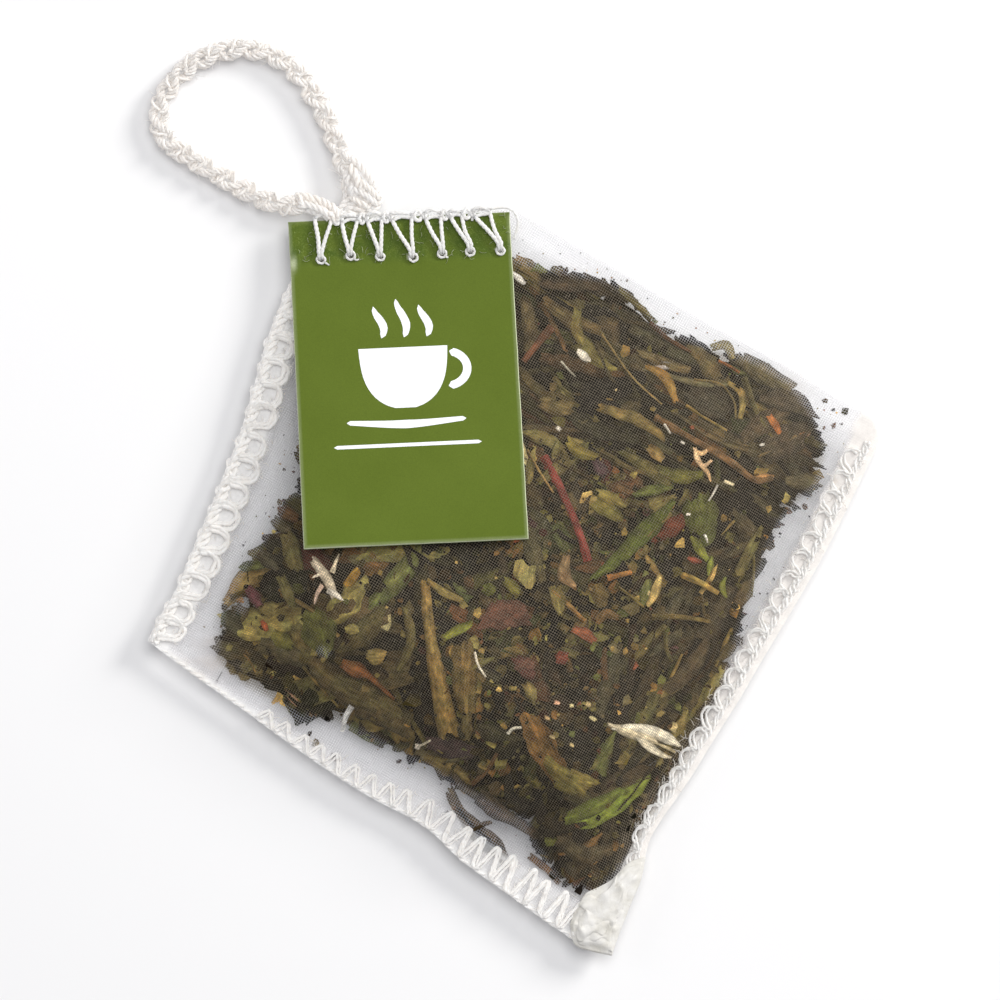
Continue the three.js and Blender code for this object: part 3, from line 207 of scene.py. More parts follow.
    ["leaf", [[4.8, -31.3], [6.55, -33.22], [7.85, -35.12]], [3.22, 2.99, 0.92], "#40382c", "dark"],
    ["leaf", [[3.52, -29.17], [6.29, -31.36], [9.42, -30.81]], [1.84, 2.53, 1.61], "#4a4030", "dark"],
    ["leaf", [[-22.41, 2.85], [-22.84, 3.67], [-23.26, 4.5]], [0.69, 0.46, 0.17], "#efe0c8", "petal"],
    ["leaf", [[-21.05, 2.56], [-20.66, 3.57], [-20.14, 4.7]], [0.69, 0.46, 0.17], "#e4d4b4", "petal"],
    ["leaf", [[-22.26, 1.23], [-22.87, 0.34], [-23.28, -0.91]], [0.57, 0.4, 0.17], "#e8c8b0", "petal"],
    ["leaf", [[-21.48, 0.73], [-20.7, 0.01], [-19.93, -0.6]], [0.92, 0.69, 0.34], "#f0e6d4", "petal"],
    ["leaf", [[-22.43, 2.5], [-22.9, 2.29], [-23.37, 2.09]], [0.46, 0.34, 0.11], "#e8d8c0", "petal"],
    ["leaf", [[0.58, 7.56], [1.81, 4.28], [2.68, 0.56]], [1.38, 2.07, 1.15], "#4c4630", "dark"],
    ["leaf", [[4.6, 32.69], [7.59, 30.25], [10.75, 28.84]], [1.15, 1.84, 1.15], "#57492f", "dark"],
    ["leaf", [[15.24, 26.22], [18.38, 24.58], [20.88, 23.78]], [0.92, 1.38, 0.92], "#5c4e34", "dark"],
    ["leaf", [[2.3, 32.79], [2.72, 29.32], [2.26, 26.81]], [1.38, 1.84, 1.15], "#4e442e", "dark"],
    ["leaf", [[16.34, 12.59], [19.17, 11.55], [21.48, 11.79]], [1.15, 1.72, 1.03], "#5e6436", "green"],
    ["leaf", [[12.43, 15.07], [15.54, 12.63], [17.74, 10.34]], [1.03, 1.72, 1.03], "#57522f", "dark"],
    ["leaf", [[6.28, 16.5], [7.6, 15.06], [9.63, 14.28]], [1.03, 1.61, 0.92], "#6b6a3a", "green"],
    ["leaf", [[26.26, 15.6], [28.63, 17.21], [31.58, 18.81]], [1.61, 2.53, 1.61], "#4c4030", "dark"],
    ["leaf", [[20.62, -7.16], [22.84, -4.04], [24.36, -1.0]], [1.84, 2.3, 1.38], "#463c2c", "dark"],
    ["leaf", [[16.46, -12.72], [19.33, -10.32], [21.43, -7.2]], [1.61, 2.3, 1.38], "#4a3e2c", "dark"],
]
EAR = [[-3.37, 42.14, 0.0], [-3.23, 42.71, 0.1], [-2.86, 43.27, 0.1], [-1.24, 43.42, 0.05], [0.26, 43.53, 0.0], [1.28, 43.19, 0.0], [1.82, 42.36, -0.1], [1.89, 41.44, -0.3], [1.62, 40.53, -0.5], [1.3, 39.86, -0.6]]
END_LANES = [[[[-16.94, 50.0, 2.2], [-16.16, 49.39, 2.4], [-15.29, 48.32, 2.5], [-14.43, 46.9, 2.4], [-13.92, 45.38, 2.3], [-14.32, 44.36, 2.4], [-15.49, 43.84, 2.5], [-17.13, 43.22, 2.5]], 0.483], [[[-17.2, 49.21, 2.3], [-16.67, 48.27, 2.7], [-16.15, 46.98, 2.8], [-15.63, 45.8, 2.8], [-15.22, 44.75, 2.8], [-16.17, 44.1, 2.8], [-17.57, 43.59, 2.7]], 0.483], [[[-17.69, 48.66, 2.1], [-17.4, 47.49, 2.4], [-16.99, 46.32, 2.5], [-16.7, 45.16, 2.6], [-17.31, 44.27, 2.6], [-18.27, 43.51, 2.6]], 0.506], [[[-16.35, 47.68, 2.4], [-15.36, 46.71, 3.1], [-14.48, 45.87, 3.2], [-13.82, 45.15, 2.9]], 0.368], [[[-16.86, 46.55, 2.6], [-15.75, 45.81, 3.2], [-14.74, 45.07, 3.2], [-14.2, 44.47, 2.9]], 0.368], [[[-17.14, 45.53, 2.6], [-16.25, 44.91, 3.2], [-15.35, 44.29, 3.2]], 0.345], [[[-17.96, 47.75, 1.9], [-17.68, 46.36, 2.0], [-17.86, 44.98, 2.2], [-18.72, 43.76, 2.4]], 0.46], [[[-23.48, 45.35, 1.9], [-21.99, 45.06, 2.3], [-20.53, 44.3, 2.9], [-19.42, 43.44, 3.3], [-18.88, 42.73, 3.2]], 0.46], [[[-23.4, 44.54, 2.0], [-22.03, 44.25, 2.4], [-20.78, 43.85, 2.9], [-19.78, 43.23, 3.3]], 0.46], [[[-23.45, 45.93, 2.0], [-21.96, 45.75, 2.3], [-20.38, 45.1, 2.7], [-19.15, 44.24, 3.1], [-18.51, 43.29, 3.3]], 0.46], [[[-23.15, 44.99, 2.6], [-21.78, 44.7, 3.0], [-20.43, 44.06, 3.4], [-19.54, 43.33, 3.6]], 0.414]]
STAINS = [[-35.37, -6.34, 2.2, 0.8], [-37.39, -7.75, 2.0, 0.6], [-33.26, -7.94, 1.8, 0.4], [32.86, 21.51, 2.2, 0.35], [18.8, -22.04, 1.5, 0.2], [14.36, -31.04, 1.4, 0.3], [11.66, -37.24, 1.6, 0.3], [7.63, -39.94, 2.0, 0.35]]
CORNER_LOW = [[[4.21, -39.21], [4.68, -41.53], [6.37, -42.3], [8.87, -42.99]], [[8.87, -42.99], [9.65, -40.95], [11.45, -36.89], [12.6, -34.41], [13.29, -31.8]], [[6.21, -35.62], [9.03, -34.36], [11.43, -32.29], [13.29, -31.8]], [[4.21, -39.21], [4.99, -37.29], [6.21, -35.62]]]
CORNER_SIDE = [[[39.22, 14.78], [39.96, 13.13], [40.96, 12.4]], [[40.96, 12.4], [41.95, 14.08], [42.25, 15.44], [41.52, 17.2]], [[39.76, 18.89], [40.64, 18.16], [41.52, 17.2]], [[39.22, 14.78], [39.77, 16.71], [39.76, 18.89]]]


# ---------------------------------------------------------------- small helpers
def srgb(h):
    """Linear colour of a hex string."""
    c = np.array([int(h[i:i + 2], 16) for i in (1, 3, 5)]) / 255.0
    return np.where(c <= 0.04045, c / 12.92, ((c + 0.055) / 1.055) ** 2.4)


def _hash(i, j, seed):
    h = (i.astype(np.int64) * 374761393 + j.astype(np.int64) * 668265263 + seed * 974634777) & 0xFFFFFFFF
    h = ((h ^ (h >> 13)) * 1274126177) & 0xFFFFFFFF
    return ((h ^ (h >> 16)) & 0xFFFFFF) / float(0xFFFFFF)


def noise(x, y=0.0, seed=0):
    """Smooth value noise in -1..1."""
    x, y = np.broadcast_arrays(np.asarray(x, float), np.asarray(y, float))
    i, j = np.floor(x), np.floor(y)
    f, g = x - i, y - j
    f, g = f * f * (3 - 2 * f), g * g * (3 - 2 * g)
    a, b = _hash(i, j, seed), _hash(i + 1, j, seed)
    c, d = _hash(i, j + 1, seed), _hash(i + 1, j + 1, seed)
    return 2 * ((a * (1 - f) + b * f) * (1 - g) + (c * (1 - f) + d * f) * g) - 1


def fractal(x, y=0.0, seed=0, octaves=3):
    out, amp = 0.0, 1.0
    for k in range(octaves):
        out = out + amp * noise(np.asarray(x) * 2 ** k, np.asarray(y) * 2 ** k, seed + 17 * k)
        amp *= 0.5
    return out / 1.75


def smooth(t):
    t = np.clip(t, 0, 1)
    return t * t * (3 - 2 * t)


def catmull(points, per=24):
    """Centripetal Catmull-Rom line through points, any dimension."""
    p = np.array(points, float)
    if len(p) == 2:
        t = np.linspace(0, 1, per + 1)[:, None]
        return p[0] * (1 - t) + p[1] * t
    e = np.vstack([2 * p[0] - p[1], p, 2 * p[-1] - p[-2]])
    out = []
    for k in range(len(p) - 1):
        x0, x1, x2, x3 = e[k:k + 4]
        d0, d1, d2 = [max(np.linalg.norm(b - a) ** 0.5, 1e-6) for a, b in ((x0, x1), (x1, x2), (x2, x3))]
        t1 = ((x1 - x0) / d0 - (x2 - x0) / (d0 + d1) + (x2 - x1) / d1) * d1
        t2 = ((x2 - x1) / d1 - (x3 - x1) / (d1 + d2) + (x3 - x2) / d2) * d1
        t = np.linspace(0, 1, per, endpoint=False)[:, None]
        out.append(x1 + t1 * t + (-3 * x1 + 3 * x2 - 2 * t1 - t2) * t ** 2 + (2 * x1 - 2 * x2 + t1 + t2) * t ** 3)
    return np.vstack(out + [p[-1:]])


class Line:
    """A curve measured by its length."""
    def __init__(self, points, per=24, curved=True):
        self.p = catmull(points, per) if curved else np.array(points, float)
        self.s = np.concatenate([[0], np.cumsum(np.linalg.norm(np.diff(self.p, axis=0), axis=1))])
        self.length = float(self.s[-1])

    def at(self, s):
        s = np.asarray(s, float)
        return np.stack([np.interp(s, self.s, self.p[:, k]) for k in range(self.p.shape[1])], axis=-1)

    def along(self, s, h=0.3):
        s = np.asarray(s, float)
        d = self.at(np.minimum(s + h, self.length)) - self.at(np.maximum(s - h, 0))
        return d / np.maximum(np.linalg.norm(d, axis=-1, keepdims=True), 1e-9)


class Build:
    """Collects the points and faces of one piece."""
    def __init__(self):
        self.v, self.c, self.uv, self.quads, self.tris, self.n = [], [], [], [], [], 0

    def add(self, v, quads=(), tris=(), col=(1, 1, 1), uv=None):
        v = np.asarray(v, float).reshape(-1, 3)
        n = len(v)
        self.v.append(v)
        self.c.append(np.broadcast_to(np.asarray(col, float), (n, 3)))
        self.uv.append(np.zeros((n, 2)) if uv is None else np.asarray(uv, float).reshape(-1, 2))
        if len(quads):
            self.quads.append(np.asarray(quads, np.int64).reshape(-1, 4) + self.n)
        if len(tris):
            self.tris.append(np.asarray(tris, np.int64).reshape(-1, 3) + self.n)
        self.n += n

    def object(self, name, material, smooth_shade=True, sharp=None):
        v = (np.vstack(self.v) + SHIFT) / 1000.0
        c, uv = np.vstack(self.c), np.vstack(self.uv)
        quads = np.vstack(self.quads) if self.quads else np.zeros((0, 4), np.int64)
        tris = np.vstack(self.tris) if self.tris else np.zeros((0, 3), np.int64)
        idx = np.concatenate([quads.ravel(), tris.ravel()]).astype(np.int32)
        total = np.concatenate([np.full(len(quads), 4), np.full(len(tris), 3)]).astype(np.int32)
        start = np.concatenate([[0], np.cumsum(total)[:-1]]).astype(np.int32)
        m = bpy.data.meshes.new(name)
        m.vertices.add(len(v))
        m.vertices.foreach_set("co", v.astype(np.float32).ravel())
        m.loops.add(len(idx))
        m.loops.foreach_set("vertex_index", idx)
        m.polygons.add(len(total))
        m.polygons.foreach_set("loop_start", start)
        m.polygons.foreach_set("loop_total", total)
        m.update(calc_edges=True)
        m.validate()
        a = m.color_attributes.new("Col", "FLOAT_COLOR", "POINT")
        a.data.foreach_set("color", np.hstack([c, np.ones((len(c), 1))]).astype(np.float32).ravel())
        layer = m.uv_layers.new(name="UVMap")
        layer.data.foreach_set("uv", uv[idx].astype(np.float32).ravel())
        m.polygons.foreach_set("use_smooth", np.full(len(total), smooth_shade))
        if sharp:
            m.set_sharp_from_angle(angle=math.radians(sharp))
        m.materials.append(material)
        o = bpy.data.objects.new(name, m)
        bpy.context.scene.collection.objects.link(o)
        return o


def grid_quads(nu, nv, flip=False):
    i, j = np.meshgrid(np.arange(nu - 1), np.arange(nv - 1), indexing="ij")
    a = (i * nv + j).ravel()
    q = np.stack([a, a + nv, a + nv + 1, a + 1], axis=1)
    return q[:, ::-1] if flip else q


def shell_faces(nu, nv):
    """Faces of a closed thin shell: one grid, its copy, and the rim."""
    n = nu * nv
    top, under = grid_quads(nu, nv), grid_quads(nu, nv, True) + n
    ring = [j for j in range(nv)] + [i * nv + nv - 1 for i in range(1, nu)]
    ring += [(nu - 1) * nv + j for j in range(nv - 2, -1, -1)] + [i * nv for i in range(nu - 2, 0, -1)]
    ring = np.array(ring)
    nxt = np.roll(ring, -1)
    rim = np.stack([ring, nxt, nxt + n, ring + n], axis=1)
    return np.vstack([top, under, rim])


def tube(B, pts, r, sides=8, ply=0, twist=1.2, groove=0.16, col=(1, 1, 1), flat=1.0, taper=0.0, up=(0, 0, 1), phase=0.0, closed=False):
    """A thread along pts. ply is the number of strands that show in its section."""
    p = np.asarray(pts, float)
    n = len(p)
    if closed:
        t = np.roll(p, -1, 0) - np.roll(p, 1, 0)
    else:
        t = np.gradient(p, axis=0)
    t /= np.maximum(np.linalg.norm(t, axis=1, keepdims=True), 1e-9)
    s = np.concatenate([[0], np.cumsum(np.linalg.norm(np.diff(p, axis=0), axis=1))])
    nrm = np.zeros((n, 3))
    a = np.array(up, float)
    if abs(a @ t[0]) > 0.9:
        a = np.array([1.0, 0.2, 0])
    a = a - (a @ t[0]) * t[0]
    a /= np.linalg.norm(a)
    nrm[0] = a
    for k in range(1, n):
        a = a - (a @ t[k]) * t[k]
        if closed is False and abs(t[k][2]) < 0.8:  # lean back to upright where the thread lies flat
            z = np.array([0, 0, 1.0])
            z = z - (z @ t[k]) * t[k]
            a = a + 0.25 * z
        a /= max(np.linalg.norm(a), 1e-9)
        nrm[k] = a
    bi = np.cross(t, nrm)
    th = np.linspace(0, 2 * np.pi, sides, endpoint=False)
    rr = np.broadcast_to(np.asarray(r, float), (n,)).copy()
    if taper:
        rr *= np.clip(np.minimum(s, s[-1] - s) / taper, 0.35, 1) ** 0.5
    rad = rr[:, None] * np.ones(sides)
    if ply:
        rad = rad * (1 - groove + groove * np.abs(np.cos(ply / 2 * (th[None, :] - phase - 2 * np.pi * s[:, None] / twist))))
    ring = p[:, None] + rad[..., None] * (np.cos(th)[None, :, None] * nrm[:, None] * flat + np.sin(th)[None, :, None] * bi[:, None])
    i, j = np.meshgrid(np.arange(n if closed else n - 1), np.arange(sides), indexing="ij")
    i2, j2 = (i + 1) % n, (j + 1) % sides
    q = np.stack([i * sides + j, i * sides + j2, i2 * sides + j2, i2 * sides + j], -1).reshape(-1, 4)
    uv = np.stack(np.broadcast_arrays(s[:, None], th[None, :] / (2 * np.pi)), -1)
    colour = np.asarray(col, float)
    if colour.ndim == 2:
        colour = np.repeat(colour, sides, axis=0)
        ends = colour[[0, -1]]
    else:
        ends = colour
    B.add(ring.reshape(-1, 3), quads=q, col=colour, uv=uv)
    if not closed:
        base = B.n - n * sides
        B.add(p[[0, -1]], col=ends, uv=[[0, 0.5], [s[-1], 0.5]])
        e = B.n - 2
        k = np.arange(sides)
        B.tris.append(np.stack([np.full(sides, e), base + (k + 1) % sides, base + k], 1))
        last = base + (n - 1) * sides
        B.tris.append(np.stack([np.full(sides, e + 1), last + k, last + (k + 1) % sides], 1))


def spaced(points, step, per=16):
    L = Line(points, per)
    return L.at(np.linspace(0, L.length, max(3, int(L.length / step) + 1)))


# ---------------------------------------------------------------- the pouch's shape
lines = {k: Line(v) for k, v in dict(left=LEFT, bottom=BOTTOM, right=RIGHT, fold=FOLD, top=TOP).items()}


def distance(line, x, y):
    n = max(2, int(line.length / 1.6))
    q = line.at(np.linspace(0, line.length, n))
    best = np.full(np.shape(x), np.inf)
    for a, b in zip(q[:-1], q[1:]):
        d = b - a
        t = np.clip(((x - a[0]) * d[0] + (y - a[1]) * d[1]) / (d @ d), 0, 1)
        best = np.minimum(best, np.hypot(x - a[0] - t * d[0], y - a[1] - t * d[1]))
    return best


def tag_rise(d):
    d = np.maximum(0, d)
    t = d / TAG_BEND
    bend = np.where(t < 1, TAG_BEND * (t ** 3 - t ** 4 / 2), TAG_BEND / 2 + d - TAG_BEND)
    return TAG_SLOPE_0 * d + (TAG_SLOPE_1 - TAG_SLOPE_0) * bend


def ramp(d, start, length):
    return np.where(d <= start, 0, np.sin(np.pi / 2 * np.clip((d - start) / length, 0, 1)))


GS = 0.4  # spacing of the height fields
GX, GY = np.arange(-46, 46, GS), np.arange(-47, 49, GS)
XX, YY = np.meshgrid(GX, GY, indexing="ij")
D = {k: distance(l, XX, YY) for k, l in lines.items()}
FRONT = SEAM_Z + PANEL_HALF_GAP + BULGE * (
    ramp(D["left"], SEAM_W, 16) * ramp(D["bottom"], SEAM_W, 15) * ramp(D["right"], SEAM_W_RIGHT, 13) * ramp(D["fold"], 0, 17)
    * np.minimum(1, 0.94 * tag_rise(D["top"]) / BULGE))
_g = (smooth((D["left"] - SEAM_W) / 8) * smooth((D["bottom"] - SEAM_W) / 8) * smooth((D["right"] - SEAM_W_RIGHT) / 8)
      * smooth((D["top"] - SEAM_W) / 8) * smooth(D["fold"] / 9))
BACK = (SEAM_Z - PANEL_HALF_GAP) * (1 - _g) + SHEET / 2 * _g


def sample(field, x, y):
    fx = np.clip((np.asarray(x) - GX[0]) / GS, 0, len(GX) - 1.001)
    fy = np.clip((np.asarray(y) - GY[0]) / GS, 0, len(GY) - 1.001)
    i, j = fx.astype(int), fy.astype(int)
    f, g = fx - i, fy - j
    return ((field[i, j] * (1 - f) + field[i + 1, j] * f) * (1 - g)
            + (field[i, j + 1] * (1 - f) + field[i + 1, j + 1] * f) * g)


def inside(poly, x, y):
    p = np.array(poly)
    q = np.roll(p, -1, 0)
    hit = np.zeros(np.shape(x), bool)
    for (ax, ay), (bx, by) in zip(p, q):
        cross = ((ay > y) != (by > y)) & (x < (bx - ax) * (y - ay) / (by - ay + 1e-12) + ax)
        hit ^= cross
    return hit


def edge_distance(poly, x, y):
    p = np.array(poly)
    q = np.roll(p, -1, 0)
    best = np.full(np.shape(x), np.inf)
    for a, b in zip(p, q):
        d = b - a
        t = np.clip(((x - a[0]) * d[0] + (y - a[1]) * d[1]) / (d @ d), 0, 1)
        best = np.minimum(best, np.hypot(x - a[0] - t * d[0], y - a[1] - t * d[1]))
    return best


def pin(x, y):
    """The loose tea's outline as a signed field: above 0 inside."""
    s = np.where(inside(MASS, x, y), 1, -1) * edge_distance(MASS, x, y)
    for g in GAPS:
        s = np.minimum(s, -np.where(inside(g, x, y), 1, -1) * edge_distance(g, x, y))
    return s


TEA = pin(XX, YY)

# ---------------------------------------------------------------- materials
def material(name):
    m = bpy.data.materials.new(name)
    m.use_nodes = True
    nt = m.node_tree
    nt.nodes.clear()
    out = nt.nodes.new("ShaderNodeOutputMaterial")
    return m, nt, out


def node(nt, kind, **values):
    n = nt.nodes.new(kind)
    for k, v in values.items():
        if k.startswith("_"):
            setattr(n, k[1:], v)
        else:
            n.inputs[k.replace("__", " ")].default_value = v
    return n


def math_node(nt, op, a, b=None, c=None, clamp=False):
    n = nt.nodes.new("ShaderNodeMath")
    n.operation = op
    n.use_clamp = clamp
    for k, v in enumerate((a, b, c)):
        if v is None:
            continue
        if isinstance(v, (int, float)):
            n.inputs[k].default_value = v
        else:
            nt.links.new(v, n.inputs[k])
    return n.outputs[0]


def mix_colour(nt, blend, fac, a, b):
    n = nt.nodes.new("ShaderNodeMix")
    n.data_type = "RGBA"
    n.blend_type = blend
    for socket, v in ((n.inputs[0], fac), (n.inputs[6], a), (n.inputs[7], b)):
        if isinstance(v, (int, float)):
            socket.default_value = v
        elif isinstance(v, (tuple, list, np.ndarray)):
            socket.default_value = (*[float(x) for x in v][:3], 1)
        else:
            nt.links.new(v, socket)
    return n.outputs[2]


def ramp_node(nt, fac, stops):
    n = nt.nodes.new("ShaderNodeValToRGB")
    e = n.color_ramp.elements
    while len(e) < len(stops):
        e.new(0.5)
    for k, (pos, value) in enumerate(stops):
        e[k].position = pos
        e[k].color = (value, value, value, 1) if isinstance(value, (int, float)) else (*value, 1)
    nt.links.new(fac, n.inputs[0])
    return n.outputs[0]


def coords(nt, scale=(1, 1, 1), kind="UV"):
    c = nt.nodes.new("ShaderNodeTexCoord")
    m = nt.nodes.new("ShaderNodeMapping")
    m.inputs["Scale"].default_value = scale
    nt.links.new(c.outputs[kind], m.inputs["Vector"])
    return m.outputs["Vector"]


def noise_node(nt, vector, scale, detail=4.0, rough=0.55, distortion=0.0):
    n = node(nt, "ShaderNodeTexNoise", Scale=scale, Detail=detail, Roughness=rough, Distortion=distortion)
    nt.links.new(vector, n.inputs["Vector"])
    return n.outputs["Fac"]


def vertex_colour(nt):
    n = nt.nodes.new("ShaderNodeVertexColor")
    n.layer_name = "Col"
    return n.outputs["Color"]


def leaf_material(name, rough=0.62, grain=1.0, contrast=0.5, spec=0.3, translucent=0.0, warm=(1.12, 1.0, 0.8), cool=(0.85, 1.0, 0.9)):
    """Dried leaf: its own colour, streaks along it, mottling, veins and a crinkled surface."""
    m, nt, out = material(name)
    col = vertex_colour(nt)
    uv = coords(nt, (0.30 * grain, 1.25 * grain, 1))
    pos = coords(nt, (1000, 1000, 1000), "Object")
    streak = noise_node(nt, uv, 2.2, 5, 0.65, 0.5)
    blot = noise_node(nt, pos, 0.9, 4, 0.6)
    fine = noise_node(nt, pos, 6.5, 3, 0.6)
    c = mix_colour(nt, "MULTIPLY", contrast, col, ramp_node(nt, streak, [(0.32, 0.30), (0.5, 0.95), (0.68, 2.0)]))
    c = mix_colour(nt, "MULTIPLY", 0.7, c, ramp_node(nt, blot, [(0.32, 0.3), (0.5, 1.0), (0.68, 1.75)]))
    tint = ramp_node(nt, noise_node(nt, pos, 0.55, 2), [(0.35, cool), (0.65, warm)])
    c = mix_colour(nt, "MULTIPLY", 0.7, c, tint)
    c = mix_colour(nt, "MULTIPLY", 0.5, c, ramp_node(nt, fine, [(0.35, 0.5), (0.65, 1.5)]))
    bsdf = node(nt, "ShaderNodeBsdfPrincipled", Roughness=rough)
    bsdf.inputs["Specular IOR Level"].default_value = spec
    nt.links.new(c, bsdf.inputs["Base Color"])
    r = ramp_node(nt, streak, [(0.3, min(1, rough + 0.15)), (0.7, max(0.2, rough - 0.2))])
    nt.links.new(r, bsdf.inputs["Roughness"])
    h = math_node(nt, "ADD", math_node(nt, "MULTIPLY", streak, 0.7), math_node(nt, "MULTIPLY", fine, 0.5))
    b = node(nt, "ShaderNodeBump", Strength=0.8, Distance=0.00035)
    nt.links.new(h, b.inputs["Height"])
    nt.links.new(b.outputs[0], bsdf.inputs["Normal"])
    nt.links.new(bsdf.outputs[0], out.inputs["Surface"])
    return m


def thread_material(name, base, dark, rough=0.75, sheen=0.3, scale=1.0, translucency=0.25, painted_glow=0.0):
    """Spun thread: fibre streaks that wind round it, painted shade in the winding grooves, soft sheen, faint uneven
    whitening and a faint painted glow when one is given.
    """
    m, nt, out = material(name)
    uv = coords(nt, (1, 1, 1))
    sep = nt.nodes.new("ShaderNodeSeparateXYZ")
    nt.links.new(uv, sep.inputs[0])
    lay = math_node(nt, "ADD", math_node(nt, "MULTIPLY", sep.outputs[0], 1.1 * scale), math_node(nt, "MULTIPLY", sep.outputs[1], 3.0))
    wind = math_node(nt, "ABSOLUTE", math_node(nt, "SINE", math_node(nt, "MULTIPLY", lay, math.pi)))
    pos = coords(nt, (1000, 1000, 1000), "Object")
    fibre = noise_node(nt, pos, 5.0, 4, 0.7, 0.8)
    tone = noise_node(nt, pos, 0.8, 3)
    col = vertex_colour(nt)
    c = mix_colour(nt, "MIX", ramp_node(nt, fibre, [(0.3, 0.0), (0.7, 1.0)]), dark, base)
    # painted shade: darker where the winding bump is low, in the grooves between the fibres
    c = mix_colour(nt, "MULTIPLY", 0.2, c, ramp_node(nt, wind, [(0.0, 0.8), (0.5, 1.0)]))
    c = mix_colour(nt, "MULTIPLY", 0.5, c, ramp_node(nt, tone, [(0.35, (1.0, 0.965, 0.93)), (0.65, (1.0, 1.0, 1.0))]))
    c = mix_colour(nt, "MULTIPLY", 1.0, c, col)
    bsdf = node(nt, "ShaderNodeBsdfPrincipled", Roughness=rough)
    bsdf.inputs["Specular IOR Level"].default_value = 0.3
    bsdf.inputs["Sheen Weight"].default_value = sheen
    bsdf.inputs["Subsurface Weight"].default_value = 0.6
    bsdf.inputs["Subsurface Radius"].default_value = (1.0, 0.95, 0.9)
    bsdf.inputs["Subsurface Scale"].default_value = 0.0005
    # painted light: a faint glow stands in for light scattered through the thread
    bsdf.inputs["Emission Color"].default_value = (1.0, 0.985, 0.97, 1)
    bsdf.inputs["Emission Strength"].default_value = painted_glow
    nt.links.new(c, bsdf.inputs["Base Color"])
    h = math_node(nt, "ADD", math_node(nt, "MULTIPLY", wind, 0.8), math_node(nt, "MULTIPLY", fibre, 0.7))
    b = node(nt, "ShaderNodeBump", Strength=0.6, Distance=0.0001)
    nt.links.new(h, b.inputs["Height"])
    nt.links.new(b.outputs[0], bsdf.inputs["Normal"])
    tr = nt.nodes.new("ShaderNodeBsdfTranslucent")
    nt.links.new(c, tr.inputs["Color"])
    mx = node(nt, "ShaderNodeMixShader", Fac=translucency)
    nt.links.new(bsdf.outputs[0], mx.inputs[1])
    nt.links.new(tr.outputs[0], mx.inputs[2])
    nt.links.new(mx.outputs[0], out.inputs["Surface"])
    return m


